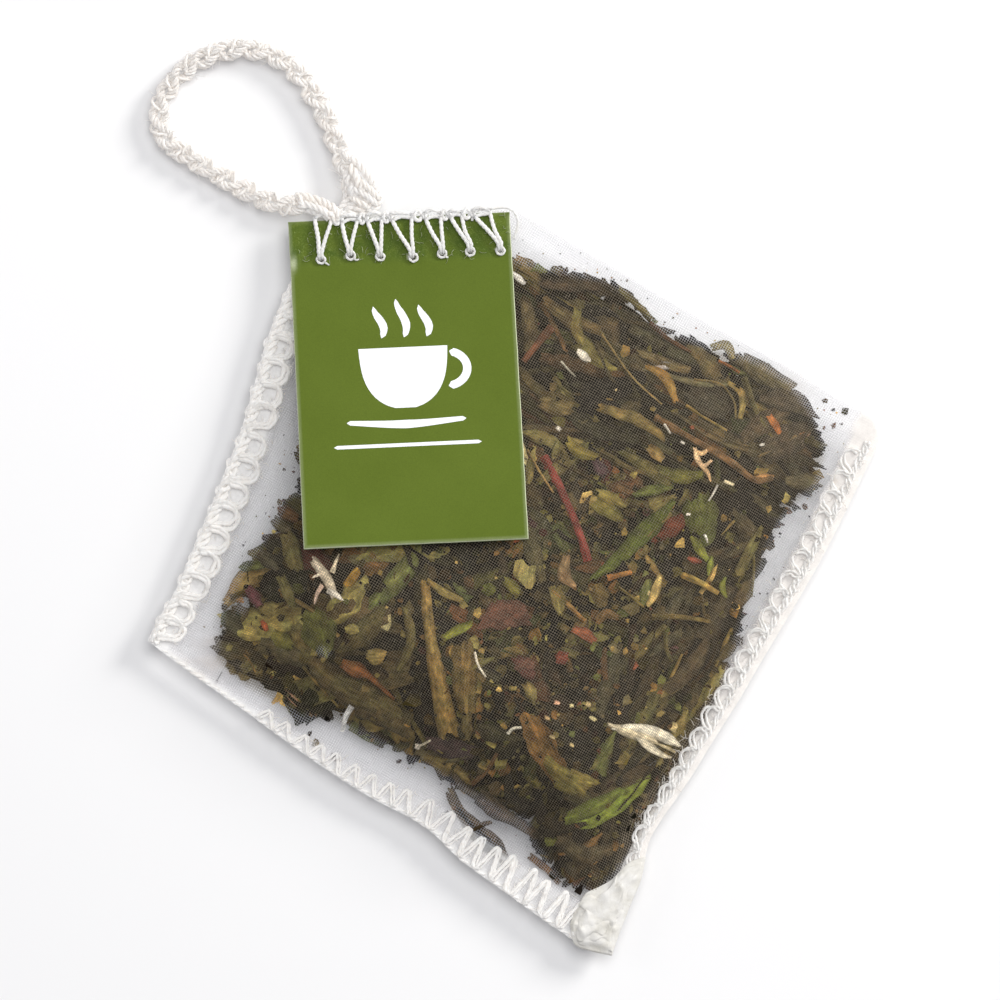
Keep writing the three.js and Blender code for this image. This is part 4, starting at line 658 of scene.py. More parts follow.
def mesh_cloth():
    """Fine plain-woven mesh: clear gaps between translucent threads, denser where the cloth is doubled at the stitching."""
    m, nt, out = material("mesh_cloth")
    uv = coords(nt, (1, 1, 1))
    jitter = noise_node(nt, coords(nt, (1, 1, 1)), 0.35, 2)
    sep = nt.nodes.new("ShaderNodeSeparateXYZ")
    nt.links.new(uv, sep.inputs[0])
    col = vertex_colour(nt)
    split = nt.nodes.new("ShaderNodeSeparateColor")
    nt.links.new(col, split.inputs[0])
    dense, stain = split.outputs[0], split.outputs[1]

    def thread(axis, shift):
        t = math_node(nt, "MULTIPLY", sep.outputs[axis], 1.0 / WEAVE)
        t = math_node(nt, "ADD", t, math_node(nt, "MULTIPLY", jitter, 0.9))
        f = math_node(nt, "FRACT", math_node(nt, "ADD", t, shift))
        d = math_node(nt, "MULTIPLY", math_node(nt, "ABSOLUTE", math_node(nt, "SUBTRACT", f, 0.5)), 2.0)  # 0 on the thread
        n = nt.nodes.new("ShaderNodeMapRange")
        n.interpolation_type = "SMOOTHSTEP"
        nt.links.new(d, n.inputs[0])
        n.inputs[1].default_value, n.inputs[2].default_value = WEAVE_FULL, WEAVE_NONE
        n.inputs[3].default_value, n.inputs[4].default_value = 1.0, 0.0
        return n.outputs[0], t
    (a, ta), (b, tb) = thread(0, 0.0), thread(1, 0.5)
    line = math_node(nt, "MAXIMUM", a, b)
    cross = math_node(nt, "MULTIPLY", a, b)
    cell = nt.nodes.new("ShaderNodeCombineXYZ")
    nt.links.new(math_node(nt, "FLOOR", ta), cell.inputs[0])
    nt.links.new(math_node(nt, "FLOOR", tb), cell.inputs[1])
    rnd = nt.nodes.new("ShaderNodeTexWhiteNoise")
    rnd.noise_dimensions = "2D"
    nt.links.new(cell.outputs[0], rnd.inputs["Vector"])
    # painted glints: a few random thread cells made more opaque so they show as bright sparkles
    painted_glint = math_node(nt, "MULTIPLY", math_node(nt, "GREATER_THAN", rnd.outputs["Value"], 0.989), line)
    uneven = noise_node(nt, coords(nt, (1, 1, 1)), 1.6, 3)
    alpha = math_node(nt, "MULTIPLY", line, math_node(nt, "ADD", math_node(nt, "MULTIPLY", uneven, THREAD_ALPHA), THREAD_ALPHA * 0.5))
    alpha = math_node(nt, "ADD", alpha, math_node(nt, "MULTIPLY", cross, 0.2))
    alpha = math_node(nt, "ADD", alpha, math_node(nt, "MULTIPLY", painted_glint, 0.55))
    alpha = math_node(nt, "ADD", alpha, math_node(nt, "MULTIPLY", stain, 0.3))
    # cloth gathered under the stitching
    puff = math_node(nt, "ADD", math_node(nt, "MULTIPLY", uneven, 0.4), 0.70)
    alpha = math_node(nt, "MAXIMUM", alpha, math_node(nt, "MULTIPLY", dense, puff), clamp=False)
    alpha = math_node(nt, "MINIMUM", alpha, 0.95)
    # painted shade: the blue channel switches the thread to its darker colour over the tea
    base = mix_colour(nt, "MIX", split.outputs[2], THREAD_COLOUR, THREAD_OVER_TEA_PAINTED_SHADE)
    base = mix_colour(nt, "MIX", dense, base, (0.93, 0.925, 0.915))
    base = mix_colour(nt, "MIX", math_node(nt, "MULTIPLY", stain, 0.7), base, (0.62, 0.50, 0.38))
    bsdf = node(nt, "ShaderNodeBsdfPrincipled", Roughness=0.45)
    bsdf.inputs["Specular IOR Level"].default_value = 0.25
    nt.links.new(base, bsdf.inputs["Base Color"])
    h = math_node(nt, "ADD", line, math_node(nt, "MULTIPLY", cross, 0.5))
    bump = node(nt, "ShaderNodeBump", Strength=0.35, Distance=0.00005)
    nt.links.new(h, bump.inputs["Height"])
    nt.links.new(bump.outputs[0], bsdf.inputs["Normal"])
    tr = nt.nodes.new("ShaderNodeBsdfTranslucent")
    nt.links.new(base, tr.inputs["Color"])
    body = nt.nodes.new("ShaderNodeMixShader")
    nt.links.new(math_node(nt, "SUBTRACT", 0.38, math_node(nt, "MULTIPLY", dense, 0.30)), body.inputs[0])
    nt.links.new(bsdf.outputs[0], body.inputs[1])
    nt.links.new(tr.outputs[0], body.inputs[2])
    clear = nt.nodes.new("ShaderNodeBsdfTransparent")
    mx = nt.nodes.new("ShaderNodeMixShader")
    nt.links.new(alpha, mx.inputs[0])
    nt.links.new(clear.outputs[0], mx.inputs[1])
    nt.links.new(body.outputs[0], mx.inputs[2])
    nt.links.new(mx.outputs[0], out.inputs["Surface"])
    return m




def card_material():
    """Uncoated green card: speckled print, rubbed pale edges, scuffs and painted shade under the stitches."""
    m, nt, out = material("tag_card")
    col = vertex_colour(nt)  # red: pale cut edge, green: scuffs and painted shade under the stitches
    split = nt.nodes.new("ShaderNodeSeparateColor")
    nt.links.new(col, split.inputs[0])
    pos = coords(nt, (1000, 1000, 1000), "Object")
    speck = noise_node(nt, pos, 7.0, 3, 0.7)
    tone = noise_node(nt, pos, 0.12, 3)
    c = mix_colour(nt, "MIX", ramp_node(nt, tone, [(0.35, 0.0), (0.65, 1.0)]), (0.088, 0.127, 0.0118), (0.096, 0.137, 0.0142))
    c = mix_colour(nt, "MULTIPLY", 0.30, c, ramp_node(nt, speck, [(0.30, 0.62), (0.5, 1.0), (0.72, 1.35)]))
    blot = noise_node(nt, coords(nt, (1000, 1000, 1000), "Object"), 0.42, 4, 0.6, 0.8)
    # scuffs and painted shade from the stitch legs: darker blotches near the top of the card
    dark = math_node(nt, "MULTIPLY", split.outputs[1], ramp_node(nt, blot, [(0.36, 0.0), (0.62, 1.0)]))
    c = mix_colour(nt, "MIX", math_node(nt, "MULTIPLY", dark, 0.8), c, (0.050, 0.088, 0.008))
    hair = node(nt, "ShaderNodeTexNoise", Scale=1.5, Detail=2.0, Roughness=0.5, Distortion=3.0)
    nt.links.new(coords(nt, (1000, 1000, 1000), "Object"), hair.inputs["Vector"])
    line = math_node(nt, "ABSOLUTE", math_node(nt, "SUBTRACT", hair.outputs["Fac"], 0.5))
    scratch = math_node(nt, "MULTIPLY", ramp_node(nt, line, [(0.0, 1.0), (0.012, 0.0)]), split.outputs[1])
    c = mix_colour(nt, "MIX", math_node(nt, "MULTIPLY", scratch, 0.55), c, (0.40, 0.50, 0.16))
    edge = math_node(nt, "MULTIPLY", split.outputs[0], ramp_node(nt, speck, [(0.25, 0.55), (0.6, 1.0)]))
    c = mix_colour(nt, "MIX", edge, c, (0.66, 0.70, 0.50))
    bsdf = node(nt, "ShaderNodeBsdfPrincipled", Roughness=0.62)
    bsdf.inputs["Specular IOR Level"].default_value = 0.12
    nt.links.new(c, bsdf.inputs["Base Color"])
    b = node(nt, "ShaderNodeBump", Strength=0.25, Distance=0.00004)
    nt.links.new(math_node(nt, "ADD", speck, math_node(nt, "MULTIPLY", scratch, 0.6)), b.inputs["Height"])
    nt.links.new(b.outputs[0], bsdf.inputs["Normal"])
    nt.links.new(bsdf.outputs[0], out.inputs["Surface"])
    return m


def folded_cloth():
    """Several layers of the mesh bunched together: cream white, cloudy, faintly woven."""
    m, nt, out = material("folded_cloth")
    pos = coords(nt, (1000, 1000, 1000), "Object")
    cloud = noise_node(nt, pos, 0.55, 3, 0.55, 0.4)
    fine = noise_node(nt, pos, 4.0, 3, 0.7)
    col = vertex_colour(nt)
    c = ramp_node(nt, cloud, [(0.32, (0.79, 0.775, 0.73)), (0.62, (0.90, 0.895, 0.885))])
    c = mix_colour(nt, "MULTIPLY", 0.35, c, ramp_node(nt, fine, [(0.35, 0.86), (0.6, 1.0)]))
    c = mix_colour(nt, "MULTIPLY", 1.0, c, col)
    bsdf = node(nt, "ShaderNodeBsdfPrincipled", Roughness=0.55)
    bsdf.inputs["Specular IOR Level"].default_value = 0.3
    nt.links.new(c, bsdf.inputs["Base Color"])
    b = node(nt, "ShaderNodeBump", Strength=0.5, Distance=0.00012)
    nt.links.new(math_node(nt, "ADD", math_node(nt, "MULTIPLY", cloud, 1.5), math_node(nt, "MULTIPLY", fine, 0.5)), b.inputs["Height"])
    nt.links.new(b.outputs[0], bsdf.inputs["Normal"])
    tr = nt.nodes.new("ShaderNodeBsdfTranslucent")
    nt.links.new(c, tr.inputs["Color"])
    mx = node(nt, "ShaderNodeMixShader", Fac=0.2)
    nt.links.new(bsdf.outputs[0], mx.inputs[1])
    nt.links.new(tr.outputs[0], mx.inputs[2])
    nt.links.new(mx.outputs[0], out.inputs["Surface"])
    return m


def print_material():
    """White printing ink, a little worn."""
    m, nt, out = material("tag_ink")
    pos = coords(nt, (1000, 1000, 1000), "Object")
    f = noise_node(nt, pos, 6.0, 4, 0.7)
    c = ramp_node(nt, f, [(0.3, (0.72, 0.75, 0.78)), (0.55, (0.86, 0.87, 0.90))])
    bsdf = node(nt, "ShaderNodeBsdfPrincipled", Roughness=0.55)
    nt.links.new(c, bsdf.inputs["Base Color"])
    b = node(nt, "ShaderNodeBump", Strength=0.2, Distance=0.00003)
    nt.links.new(f, b.inputs["Height"])
    nt.links.new(b.outputs[0], bsdf.inputs["Normal"])
    nt.links.new(bsdf.outputs[0], out.inputs["Surface"])
    return m


MAT = {
    "mesh": mesh_cloth(),
    "card": card_material(),
    "ink": print_material(),
    # the loop and seam threads are given a faint painted glow, their last number
    "loop": thread_material("loop_thread", (0.975, 0.965, 0.955), (0.93, 0.905, 0.88), 0.8, 0.35, 1.0, 0.3, 0.12),
    "tag_thread": thread_material("tag_thread", (0.965, 0.96, 0.95), (0.90, 0.88, 0.85), 0.7, 0.3, 1.4, 0.12),
    "fold": folded_cloth(),
    "seam": thread_material("seam_thread", (0.94, 0.93, 0.91), (0.86, 0.84, 0.81), 0.7, 0.3, 1.2, 0.15, 0.14),
    "loose": leaf_material("loose_leaf", 0.75, 1.0, 0.6, 0.08),
    "red": leaf_material("red_stem", 0.55, 0.8, 0.4, 0.2),
    "dry": leaf_material("dry_stem", 0.6, 0.9, 0.7, 0.15),
    "green": leaf_material("green_leaf", 0.6, 1.0, 0.6, 0.18, warm=(1.22, 1.02, 0.75), cool=(1.02, 1.0, 0.8)),
    "tan": leaf_material("tan_leaf", 0.62, 1.0, 0.7, 0.14),
    "fruit": leaf_material("fruit_piece", 0.6, 1.3, 0.6, 0.18, warm=(1.15, 0.95, 0.85), cool=(0.95, 0.95, 1.0)),
    "petal": leaf_material("petal", 0.6, 0.8, 0.25, 0.3, warm=(1.03, 1.0, 0.94), cool=(0.98, 0.99, 1.0)),
    "dark": leaf_material("dark_leaf", 0.62, 1.0, 0.65, 0.16),
}


def place(obj, slot, *nodes):
    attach(obj, "root")
    if nodes:
        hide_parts(*nodes)
    return obj


# ---------------------------------------------------------------- camera, floor and light
scene = bpy.context.scene
cam_data = bpy.data.cameras.new("camera")
cam = bpy.data.objects.new("camera", cam_data)
scene.collection.objects.link(cam)
cam.location = (-0.00174, 0.00905, 0.600)
cam.rotation_euler = (0, 0, math.radians(-2.6))
cam_data.sensor_width = 36
cam_data.lens = 36 * 597 / 114.94
cam_data.clip_start, cam_data.clip_end = 0.01, 10
scene.camera = cam
scene.view_settings.view_transform = "Standard"


def floor():
    m, nt, out = material("floor_white")
    f = noise_node(nt, coords(nt, (1, 1, 1), "Object"), 8.0, 3)
    c = ramp_node(nt, f, [(0.3, (0.815, 0.815, 0.820)), (0.7, (0.820, 0.820, 0.825))])
    bsdf = node(nt, "ShaderNodeBsdfPrincipled", Roughness=0.9)
    bsdf.inputs["Specular IOR Level"].default_value = 0.1
    nt.links.new(c, bsdf.inputs["Base Color"])
    nt.links.new(bsdf.outputs[0], out.inputs["Surface"])
    me = bpy.data.meshes.new("floor")
    n, size = 13, 3.0
    g = np.linspace(-size, size, n)
    x, y = np.meshgrid(g, g, indexing="ij")
    me.from_pydata(np.stack([x.ravel(), y.ravel(), np.full(n * n, -0.00005)], 1).tolist(), [], grid_quads(n, n).tolist())
    me.materials.append(m)
    o = bpy.data.objects.new("floor", me)
    scene.collection.objects.link(o)


floor()
world = bpy.data.worlds.new("studio")
scene.world = world
world.use_nodes = True
bg = world.node_tree.nodes["Background"]
bg.inputs[0].default_value = (0.93, 0.94, 1.0, 1)
bg.inputs[1].default_value = WORLD_STRENGTH


def area(name, location, target, size, power, colour):
    d = bpy.data.lights.new(name, "AREA")
    d.shape, d.size, d.energy, d.color = "DISK", size, power, colour
    o = bpy.data.objects.new(name, d)
    o.location = location
    o.rotation_euler = (Vector(target) - Vector(location)).to_track_quat("-Z", "Y").to_euler()
    scene.collection.objects.link(o)


area("key", (0.59, 0.38, 0.36), (0, 0, 0), 0.28, KEY_POWER, (1.0, 0.985, 0.95))
area("fill", (-0.52, 0.16, 0.30), (-0.03, 0.0, 0), 0.30, FILL_POWER, (1.0, 0.985, 0.97))
area("overhead", (0.14, 0.24, 0.85), (0, 0, 0), 0.7, TOP_POWER, (1.0, 0.993, 0.985))

# ---------------------------------------------------------------- loose tea
TOP_CLEAR = 0.22   # cloth to the nearest leaf
rng = np.random.default_rng(11)
PEAKS = []         # points of the upper leaves, which the cloth rests on


def leaf(B, r, pts, widths, colour, depth=0.0, thick=0.16, roll=0.5, twist=0.0, tilt=0.0, rag=0.16, crinkle=0.12,
         bend=0.0, nv=5, step=0.6, vein=0.25, under=False, painted_edge_shade=0.42, hold=None, droop=0.0):
    """A piece of dried leaf as a closed thin shell along pts. It lies against the front panel, depth below it,
    or against the back panel when under is true. roll is the half angle that its width curls through."""
    L = Line(pts, 12)
    nu = int(np.clip(L.length / step + 1, 4, 40))
    s = np.linspace(0, 1, nu)
    c = L.at(s * L.length)
    t2 = L.along(s * L.length)
    n2 = np.stack([-t2[:, 1], t2[:, 0]], 1)
    widths = np.asarray(widths, float)
    if len(widths) == 1:
        widths = np.repeat(widths, 3)
    k = s * (len(widths) - 1)
    i = np.minimum(k.astype(int), len(widths) - 2)
    f = 0.5 - 0.5 * np.cos(np.pi * (k - i))
    w = widths[i] * (1 - f) + widths[i + 1] * f
    q = r.integers(1, 10 ** 6)
    side = np.linspace(-1, 1, nv)
    run = s * L.length
    el = 1 + rag * 1.2 * noise(run / 1.3, 0.5, q) + rag * 0.45 * noise(run / 0.6, 9.5, q) + rag * 0.12 * noise(run / 0.3, 4.5, q)
    er = 1 + rag * 1.2 * noise(run / 1.3, 3.5, q) + rag * 0.45 * noise(run / 0.6, 7.5, q) + rag * 0.12 * noise(run / 0.3, 6.5, q)
    el, er = np.maximum(el, 0.25), np.maximum(er, 0.25)
    half = np.where(side[None, :] < 0, el[:, None], er[:, None]) * w[:, None] / 2
    a = max(0.06, roll) * (1 + 0.35 * noise(s * 3, 1.5, q + 3))[:, None]
    R = half / a
    off = R * np.sin(a * side[None, :])
    h = R * (np.cos(a * side[None, :]) - 1) * (1 if r.random() < 0.65 else -1)
    if side[0] < -0.99:
        ridge = np.exp(-(side / 0.22) ** 2)
        h = h + 0.05 * vein * 4 * ridge[None, :] * np.minimum(w, 2.0)[:, None] / 2
    ang = (tilt + twist * (s - 0.5))[:, None]
    off, h = off * np.cos(ang) - h * np.sin(ang), off * np.sin(ang) + h * np.cos(ang)
    ends = np.zeros((nu, nv))
    tear = min(0.34 * w.mean(), 0.18 * L.length)
    ends[0] = -tear * (noise(side * 1.6, 2.5, q + 1) + 0.7 * noise(side * 3.7, 8.5, q + 1))
    ends[-1] = tear * (noise(side * 1.6, 5.5, q + 1) + 0.7 * noise(side * 3.7, 11.5, q + 1))
    ends[1] = ends[0] * 0.6
    ends[-2] = ends[-1] * 0.6
    xy = c[:, None] + n2[:, None] * off[..., None] + t2[:, None] * ends[..., None]
    X, Y = xy[..., 0], xy[..., 1]
    h = h + crinkle * fractal(X * 0.9 + q % 97, Y * 0.9, q + 5, 3) * np.minimum(1, w.mean() / 2.2)
    h = h - bend * (2 * s - 1)[:, None] ** 2 - droop * s[:, None]
    lo, hi = sample(BACK, X, Y) + SHEET / 2 + 0.18, sample(FRONT, X, Y) - SHEET / 2 - TOP_CLEAR
    if under:
        z = lo + depth + (h - h.min())
        z = np.minimum(z, np.maximum(hi - 0.2, (lo + hi) / 2))
    else:
        z = hi - depth - (h.max() - h)
        z = np.maximum(z, np.minimum(lo + 0.2, (lo + hi) / 2))
    top = np.dstack([X, Y, z])
    du, dv = np.gradient(top, axis=0), np.gradient(top, axis=1)
    nrm = np.cross(du, dv)
    nrm /= np.maximum(np.linalg.norm(nrm, axis=2, keepdims=True), 1e-9)
    body = top - nrm * thick * np.sign(nrm[..., 2:3] + 1e-9)
    for part in (top, body):  # nothing pokes through either panel
        px, py = part[..., 0], part[..., 1]
        low = sample(BACK, px, py) + SHEET / 2 + 0.07
        part[..., 2] = np.clip(part[..., 2], low, np.maximum(sample(FRONT, px, py) - SHEET / 2 - 0.06, low + 0.02))
    base = np.asarray(colour, float)
    shade = 1 + 0.22 * fractal(X * 0.8, Y * 0.8, q + 8)
    # painted shade: the leaf darkens towards its edges
    shade = shade * (1 - painted_edge_shade * np.abs(side[None, :]) ** 4)
    # painted shade: darker where the leaf curls down from its highest point, and the deeper it lies
    shade = shade / (1 + 0.9 * np.maximum(h.max() - h, 0) + 0.35 * max(depth, 0))
    shade = shade + vein * np.exp(-(side / 0.2) ** 2)[None, :] * (0.7 + 0.5 * noise(s * 5, 0.3, q)[:, None])
    cc = base * np.clip(shade * 1.2, 0.12, 2.1)[..., None]
    uv = np.dstack([np.broadcast_to((s * L.length)[:, None], X.shape) + q % 53, side[None, :] * w[:, None] / 2 + q % 31])
    v = np.vstack([top.reshape(-1, 3), body.reshape(-1, 3)])
    B.add(v, quads=shell_faces(nu, nv), col=np.vstack([cc.reshape(-1, 3)] * 2), uv=np.vstack([uv.reshape(-1, 2)] * 2))
    if not under and depth < 1.2:
        PEAKS.append(top.reshape(-1, 3))
    return top


def stem(B, r, pts, d, colour, depth=0.0, taper=0.25, under=False, ridges=5, bow=0.0):
    """A stalk with long ridges, slight knots and a broken end."""
    L = Line(pts, 12)
    n = int(np.clip(L.length / 0.35 + 1, 5, 60))
    s = np.linspace(0, L.length, n)
    c = L.at(s)
    q = r.integers(1, 10 ** 6)
    rad = d / 2 * (1 + 0.12 * noise(s / 1.3, 0.4, q) + 0.10 * noise(s / 0.4, 2.2, q)) * (1 - taper * s / L.length)
    z = (sample(BACK, c[:, 0], c[:, 1]) + SHEET / 2 + 0.2 + rad + depth) if under else (
        sample(FRONT, c[:, 0], c[:, 1]) - SHEET / 2 - TOP_CLEAR - rad - depth)
    z = z + 0.1 * noise(s / 2.5, 4.4, q) - bow * (s / L.length)
    z = np.maximum(z, sample(BACK, c[:, 0], c[:, 1]) + SHEET / 2 + 0.1 + rad)
    colr = np.asarray(colour, float)[None, :] * (1 + 0.25 * noise(s / 1.1, 6.6, q))[:, None]
    tube(B, np.column_stack([c, z]), rad, sides=9, ply=ridges, twist=60, groove=0.2, col=colr)
    if not under and depth < 1.2:
        PEAKS.append(np.column_stack([c, z + rad]))


def chips(B, r, x, y, size, colour, z, thick):
    ceiling, ground = (sample(FRONT, x, y) - SHEET / 2 - 0.12)[:, None], (sample(BACK, x, y) + SHEET / 2 + 0.06)[:, None]
    """Many small broken flakes at once: flat six-sided prisms, each tilted its own way."""
    n = len(x)
    th = np.linspace(0, 2 * np.pi, 6, endpoint=False)[None, :] + r.random((n, 1)) * 6.28
    rad = size[:, None] * (0.55 + 0.75 * r.random((n, 6))) / 2
    rad = rad * (1 + 0.5 * np.cos(th - r.random((n, 1)) * 6.28))
    p = np.stack([rad * np.cos(th), rad * np.sin(th), np.zeros((n, 6))], -1)
    ax = r.normal(0, 1, (n, 3))
    ax[:, 2] *= 0.3
    ax /= np.linalg.norm(ax, axis=1, keepdims=True)
    an = r.normal(0, 0.45, n)
    K = np.zeros((n, 3, 3))
    K[:, 0, 1], K[:, 0, 2], K[:, 1, 0] = -ax[:, 2], ax[:, 1], ax[:, 2]
    K[:, 1, 2], K[:, 2, 0], K[:, 2, 1] = -ax[:, 0], -ax[:, 1], ax[:, 0]
    M = np.eye(3) + np.sin(an)[:, None, None] * K + (1 - np.cos(an))[:, None, None] * (K @ K)
    nrm = M[:, :, 2]
    top = np.einsum("nij,nkj->nki", M, p) + np.stack([x, y, z], 1)[:, None]
    low = top - nrm[:, None] * thick[:, None, None]
    ceiling = np.minimum(ceiling, np.maximum(z[:, None] + 0.10, ground + 0.1))
    top[..., 2] = np.clip(top[..., 2], ground + 0.05, ceiling)
    low[..., 2] = np.clip(low[..., 2], ground, ceiling - 0.05)
    v = np.concatenate([top, low], 1).reshape(-1, 3)
    k = np.arange(n)[:, None, None] * 12
    i = np.arange(6)
    side = np.stack([i, i + 6, (i + 1) % 6 + 6, (i + 1) % 6], 1)[None]
    fan = np.array([[0, 1, 2, 3], [0, 3, 4, 5]])[None]
    fan2 = np.array([[9, 8, 7, 6], [11, 10, 9, 6]])[None]
    q = np.concatenate([side + k, fan + k, fan2 + k], 1).reshape(-1, 4)
    col = np.repeat(colour, 12, 0) * (0.8 + 0.4 * r.random((n * 12, 1)))
    uv = np.repeat(r.random((n, 2)) * 40, 12, 0) + v[:, :2] * 0.5
    B.add(v, quads=q, col=col, uv=uv)


PAL = {k: [srgb(c) for c in v] for k, v in dict(
    dark=["#3a3224", "#453b2a", "#3a3828", "#4d4430", "#332c22", "#52482f", "#403a2c", "#4a4636"],
    olive=["#5d5636", "#6b6340", "#59552f", "#756a45", "#4f4c2e", "#66603c"],
    brown=["#6a5034", "#7b5d3a", "#5d442e", "#86683e", "#704c34"],
    green=["#5a6036", "#62693c", "#4f5632", "#6c7346", "#555c38"],
    tan=["#94804e", "#a58c58", "#8a7448", "#b49a66"],
    red=["#6e3c30", "#7c4636", "#5c3434", "#8a5040", "#5a3c44"],
    pale=["#c8b486", "#d8c8a0", "#b8a070"],
).items()}


def pick(r, weights):
    names = list(weights)
    p = np.array([weights[k] for k in names], float)
    name = names[r.choice(len(names), p=p / p.sum())]
    c = PAL[name][r.integers(len(PAL[name]))]
    k = r.choice([0.13, 0.42, 1.1, 1.95]) * r.uniform(0.8, 1.3)
    if name not in ("dark", "olive"):
        k = min(k, 1.25)
    return c * np.array([1.12, 1.0, 0.78]) * TONE * k


TONE = 0.80
WARM = np.array([1.10, 1.0, 0.80])
KIND_TONE = {"green": np.array([1.15, 0.95, 0.62]), "fruit": np.array([0.85, 0.82, 0.72]), "red": np.array([0.95, 0.92, 0.85]), "petal": np.array([1.02, 1.0, 0.96])}
FOLD_DIR = math.atan2(-15.96, 24.58)
SIDE_DIR = math.atan2(41.81, 26.86)


def region(x, y):
    """Which kind of tea lies here: long twisted leaves by the fold, broad leaves at the left, chips in the lower middle."""
    df, dr = float(sample(D["fold"], x, y)), float(sample(D["right"], x, y))
    if df < 19 and x > 0:
        return "long"
    if x < -10 and y < 16:
        return "broad"
    if dr < 15:
        return "side"
    if y > 16:
        return "long"
    return "chip"


MIXES = {
    "long": dict(dark=5, olive=3.4, brown=1.2, green=0.5, tan=0.25),
    "broad": dict(dark=4, olive=4.5, brown=1.1, green=0.7, tan=0.3, red=0.06),
    "side": dict(dark=6, olive=2.5, brown=0.9, green=0.6, tan=0.25, red=0.06),
    "chip": dict(dark=4.5, olive=3.0, brown=1.4, green=1.0, tan=0.5, red=0.22, pale=0.08),
}
REGION_TONE = {"long": 0.72, "broad": 1.36, "side": 0.76, "chip": 0.74}
COVER = np.zeros_like(FRONT)


def stamp(x, y, rad):
    i, j = int((x - GX[0]) / GS), int((y - GY[0]) / GS)
    k = int(rad / GS) + 1
    a, b, c, d = max(i - k, 0), min(i + k + 1, len(GX)), max(j - k, 0), min(j + k + 1, len(GY))
    COVER[a:b, c:d] += ((XX[a:b, c:d] - x) ** 2 + (YY[a:b, c:d] - y) ** 2 < rad * rad)


def scatter(B, r, count, depth, painted_depth_shade=1.0, under=False, scale=1.0, margin=0.5, flatten=1.0):
    cells = np.argwhere((TEA > margin) & (WITHIN > 0) & (D["left"] > 4.6) & (D["bottom"] > 4.4) & (D["right"] > 2.4))
    for _ in range(count):
        best, where = 1e9, None
        for c in cells[r.integers(len(cells), size=7)]:
            v = COVER[c[0], c[1]] + 0.3 * r.random()
            if v < best:
                best, where = v, c
        x, y = GX[where[0]] + r.uniform(-0.2, 0.2), GY[where[1]] + r.uniform(-0.2, 0.2)
        g = region(x, y)
        room = float(sample(TEA, x, y))
        col = pick(r, MIXES[g]) * painted_depth_shade * REGION_TONE[g]
        dep = r.uniform(*depth)
        if g == "long":
            ang = FOLD_DIR + r.normal(0, 0.38)
            ln, wd = r.uniform(4, 12) * scale, r.uniform(0.9, 3.2)
            roll, twist = r.uniform(0.4, 2.0), r.normal(0, 1.1)
            if wd > 2.4:
                roll = r.uniform(0.3, 1.0)
        elif g == "broad":
            ang = r.choice([FOLD_DIR + 0.1, 0.7, -1.2]) + r.normal(0, 0.5)
            ln, wd = r.uniform(3.5, 9.5) * scale, r.uniform(1.8, 4.6)
            roll, twist = r.uniform(0.15, 0.7), r.normal(0, 0.35)
        elif g == "side":
            ang = SIDE_DIR + r.normal(0, 0.5)
            ln, wd = r.uniform(3.5, 10) * scale, r.uniform(0.9, 2.8)
            roll, twist = r.uniform(0.2, 1.0), r.normal(0, 0.5)
        else:
            ang = r.uniform(0, np.pi)
            ln, wd = r.uniform(1.4, 5.0) * scale, r.uniform(0.8, 2.4)
            roll, twist = r.uniform(0.2, 0.9), r.normal(0, 0.5)
        d = np.array([math.cos(ang), math.sin(ang)])
        reach = r.choice([-0.15, -0.55])
        for _try in range(5):  # shorten what would stick far out of the heap
            a, b = np.array([x, y]) - d * ln / 2, np.array([x, y]) + d * ln / 2
            if min(float(sample(TEA, *a)), float(sample(TEA, *b))) > reach:
                break
            ln *= 0.72
        wd = min(wd, max(0.8, 1.3 * room + 0.8), ln * 0.9)
        mid = np.array([x, y]) + np.array([-d[1], d[0]]) * r.normal(0, 0.06) * ln
        shape = [(0.45, 1.0, 0.5), (0.85, 1.0, 0.8), (0.3, 0.9, 1.0, 0.35), (1.0, 0.9, 0.3), (0.7, 1.0, 0.95, 0.6)][r.integers(5)]
        if r.random() < 0.10 and not under:
            stem(B, r, [a, mid, b], r.uniform(0.35, 0.9), pick(r, dict(brown=2, tan=2, olive=1, dark=1)) * painted_depth_shade, dep, 0.2, under)
        else:
            leaf(B, r, [a, mid, b], np.array(shape) * wd, col, dep, r.uniform(0.10, 0.2), roll, twist, r.normal(0, 0.16) * flatten,
                 r.uniform(0.14, 0.34), r.uniform(0.08, 0.26), r.uniform(-0.1, 0.25), 6 if wd > 1.2 else 4, 0.75 if under else (0.42 if depth[0] < 0.3 else 0.55),
                 r.uniform(0, 0.4), under)
        for k in np.linspace(-0.4, 0.4, max(1, int(ln / 1.6))):
            stamp(x + d[0] * ln * k, y + d[1] * ln * k, max(0.4, wd * 0.45))


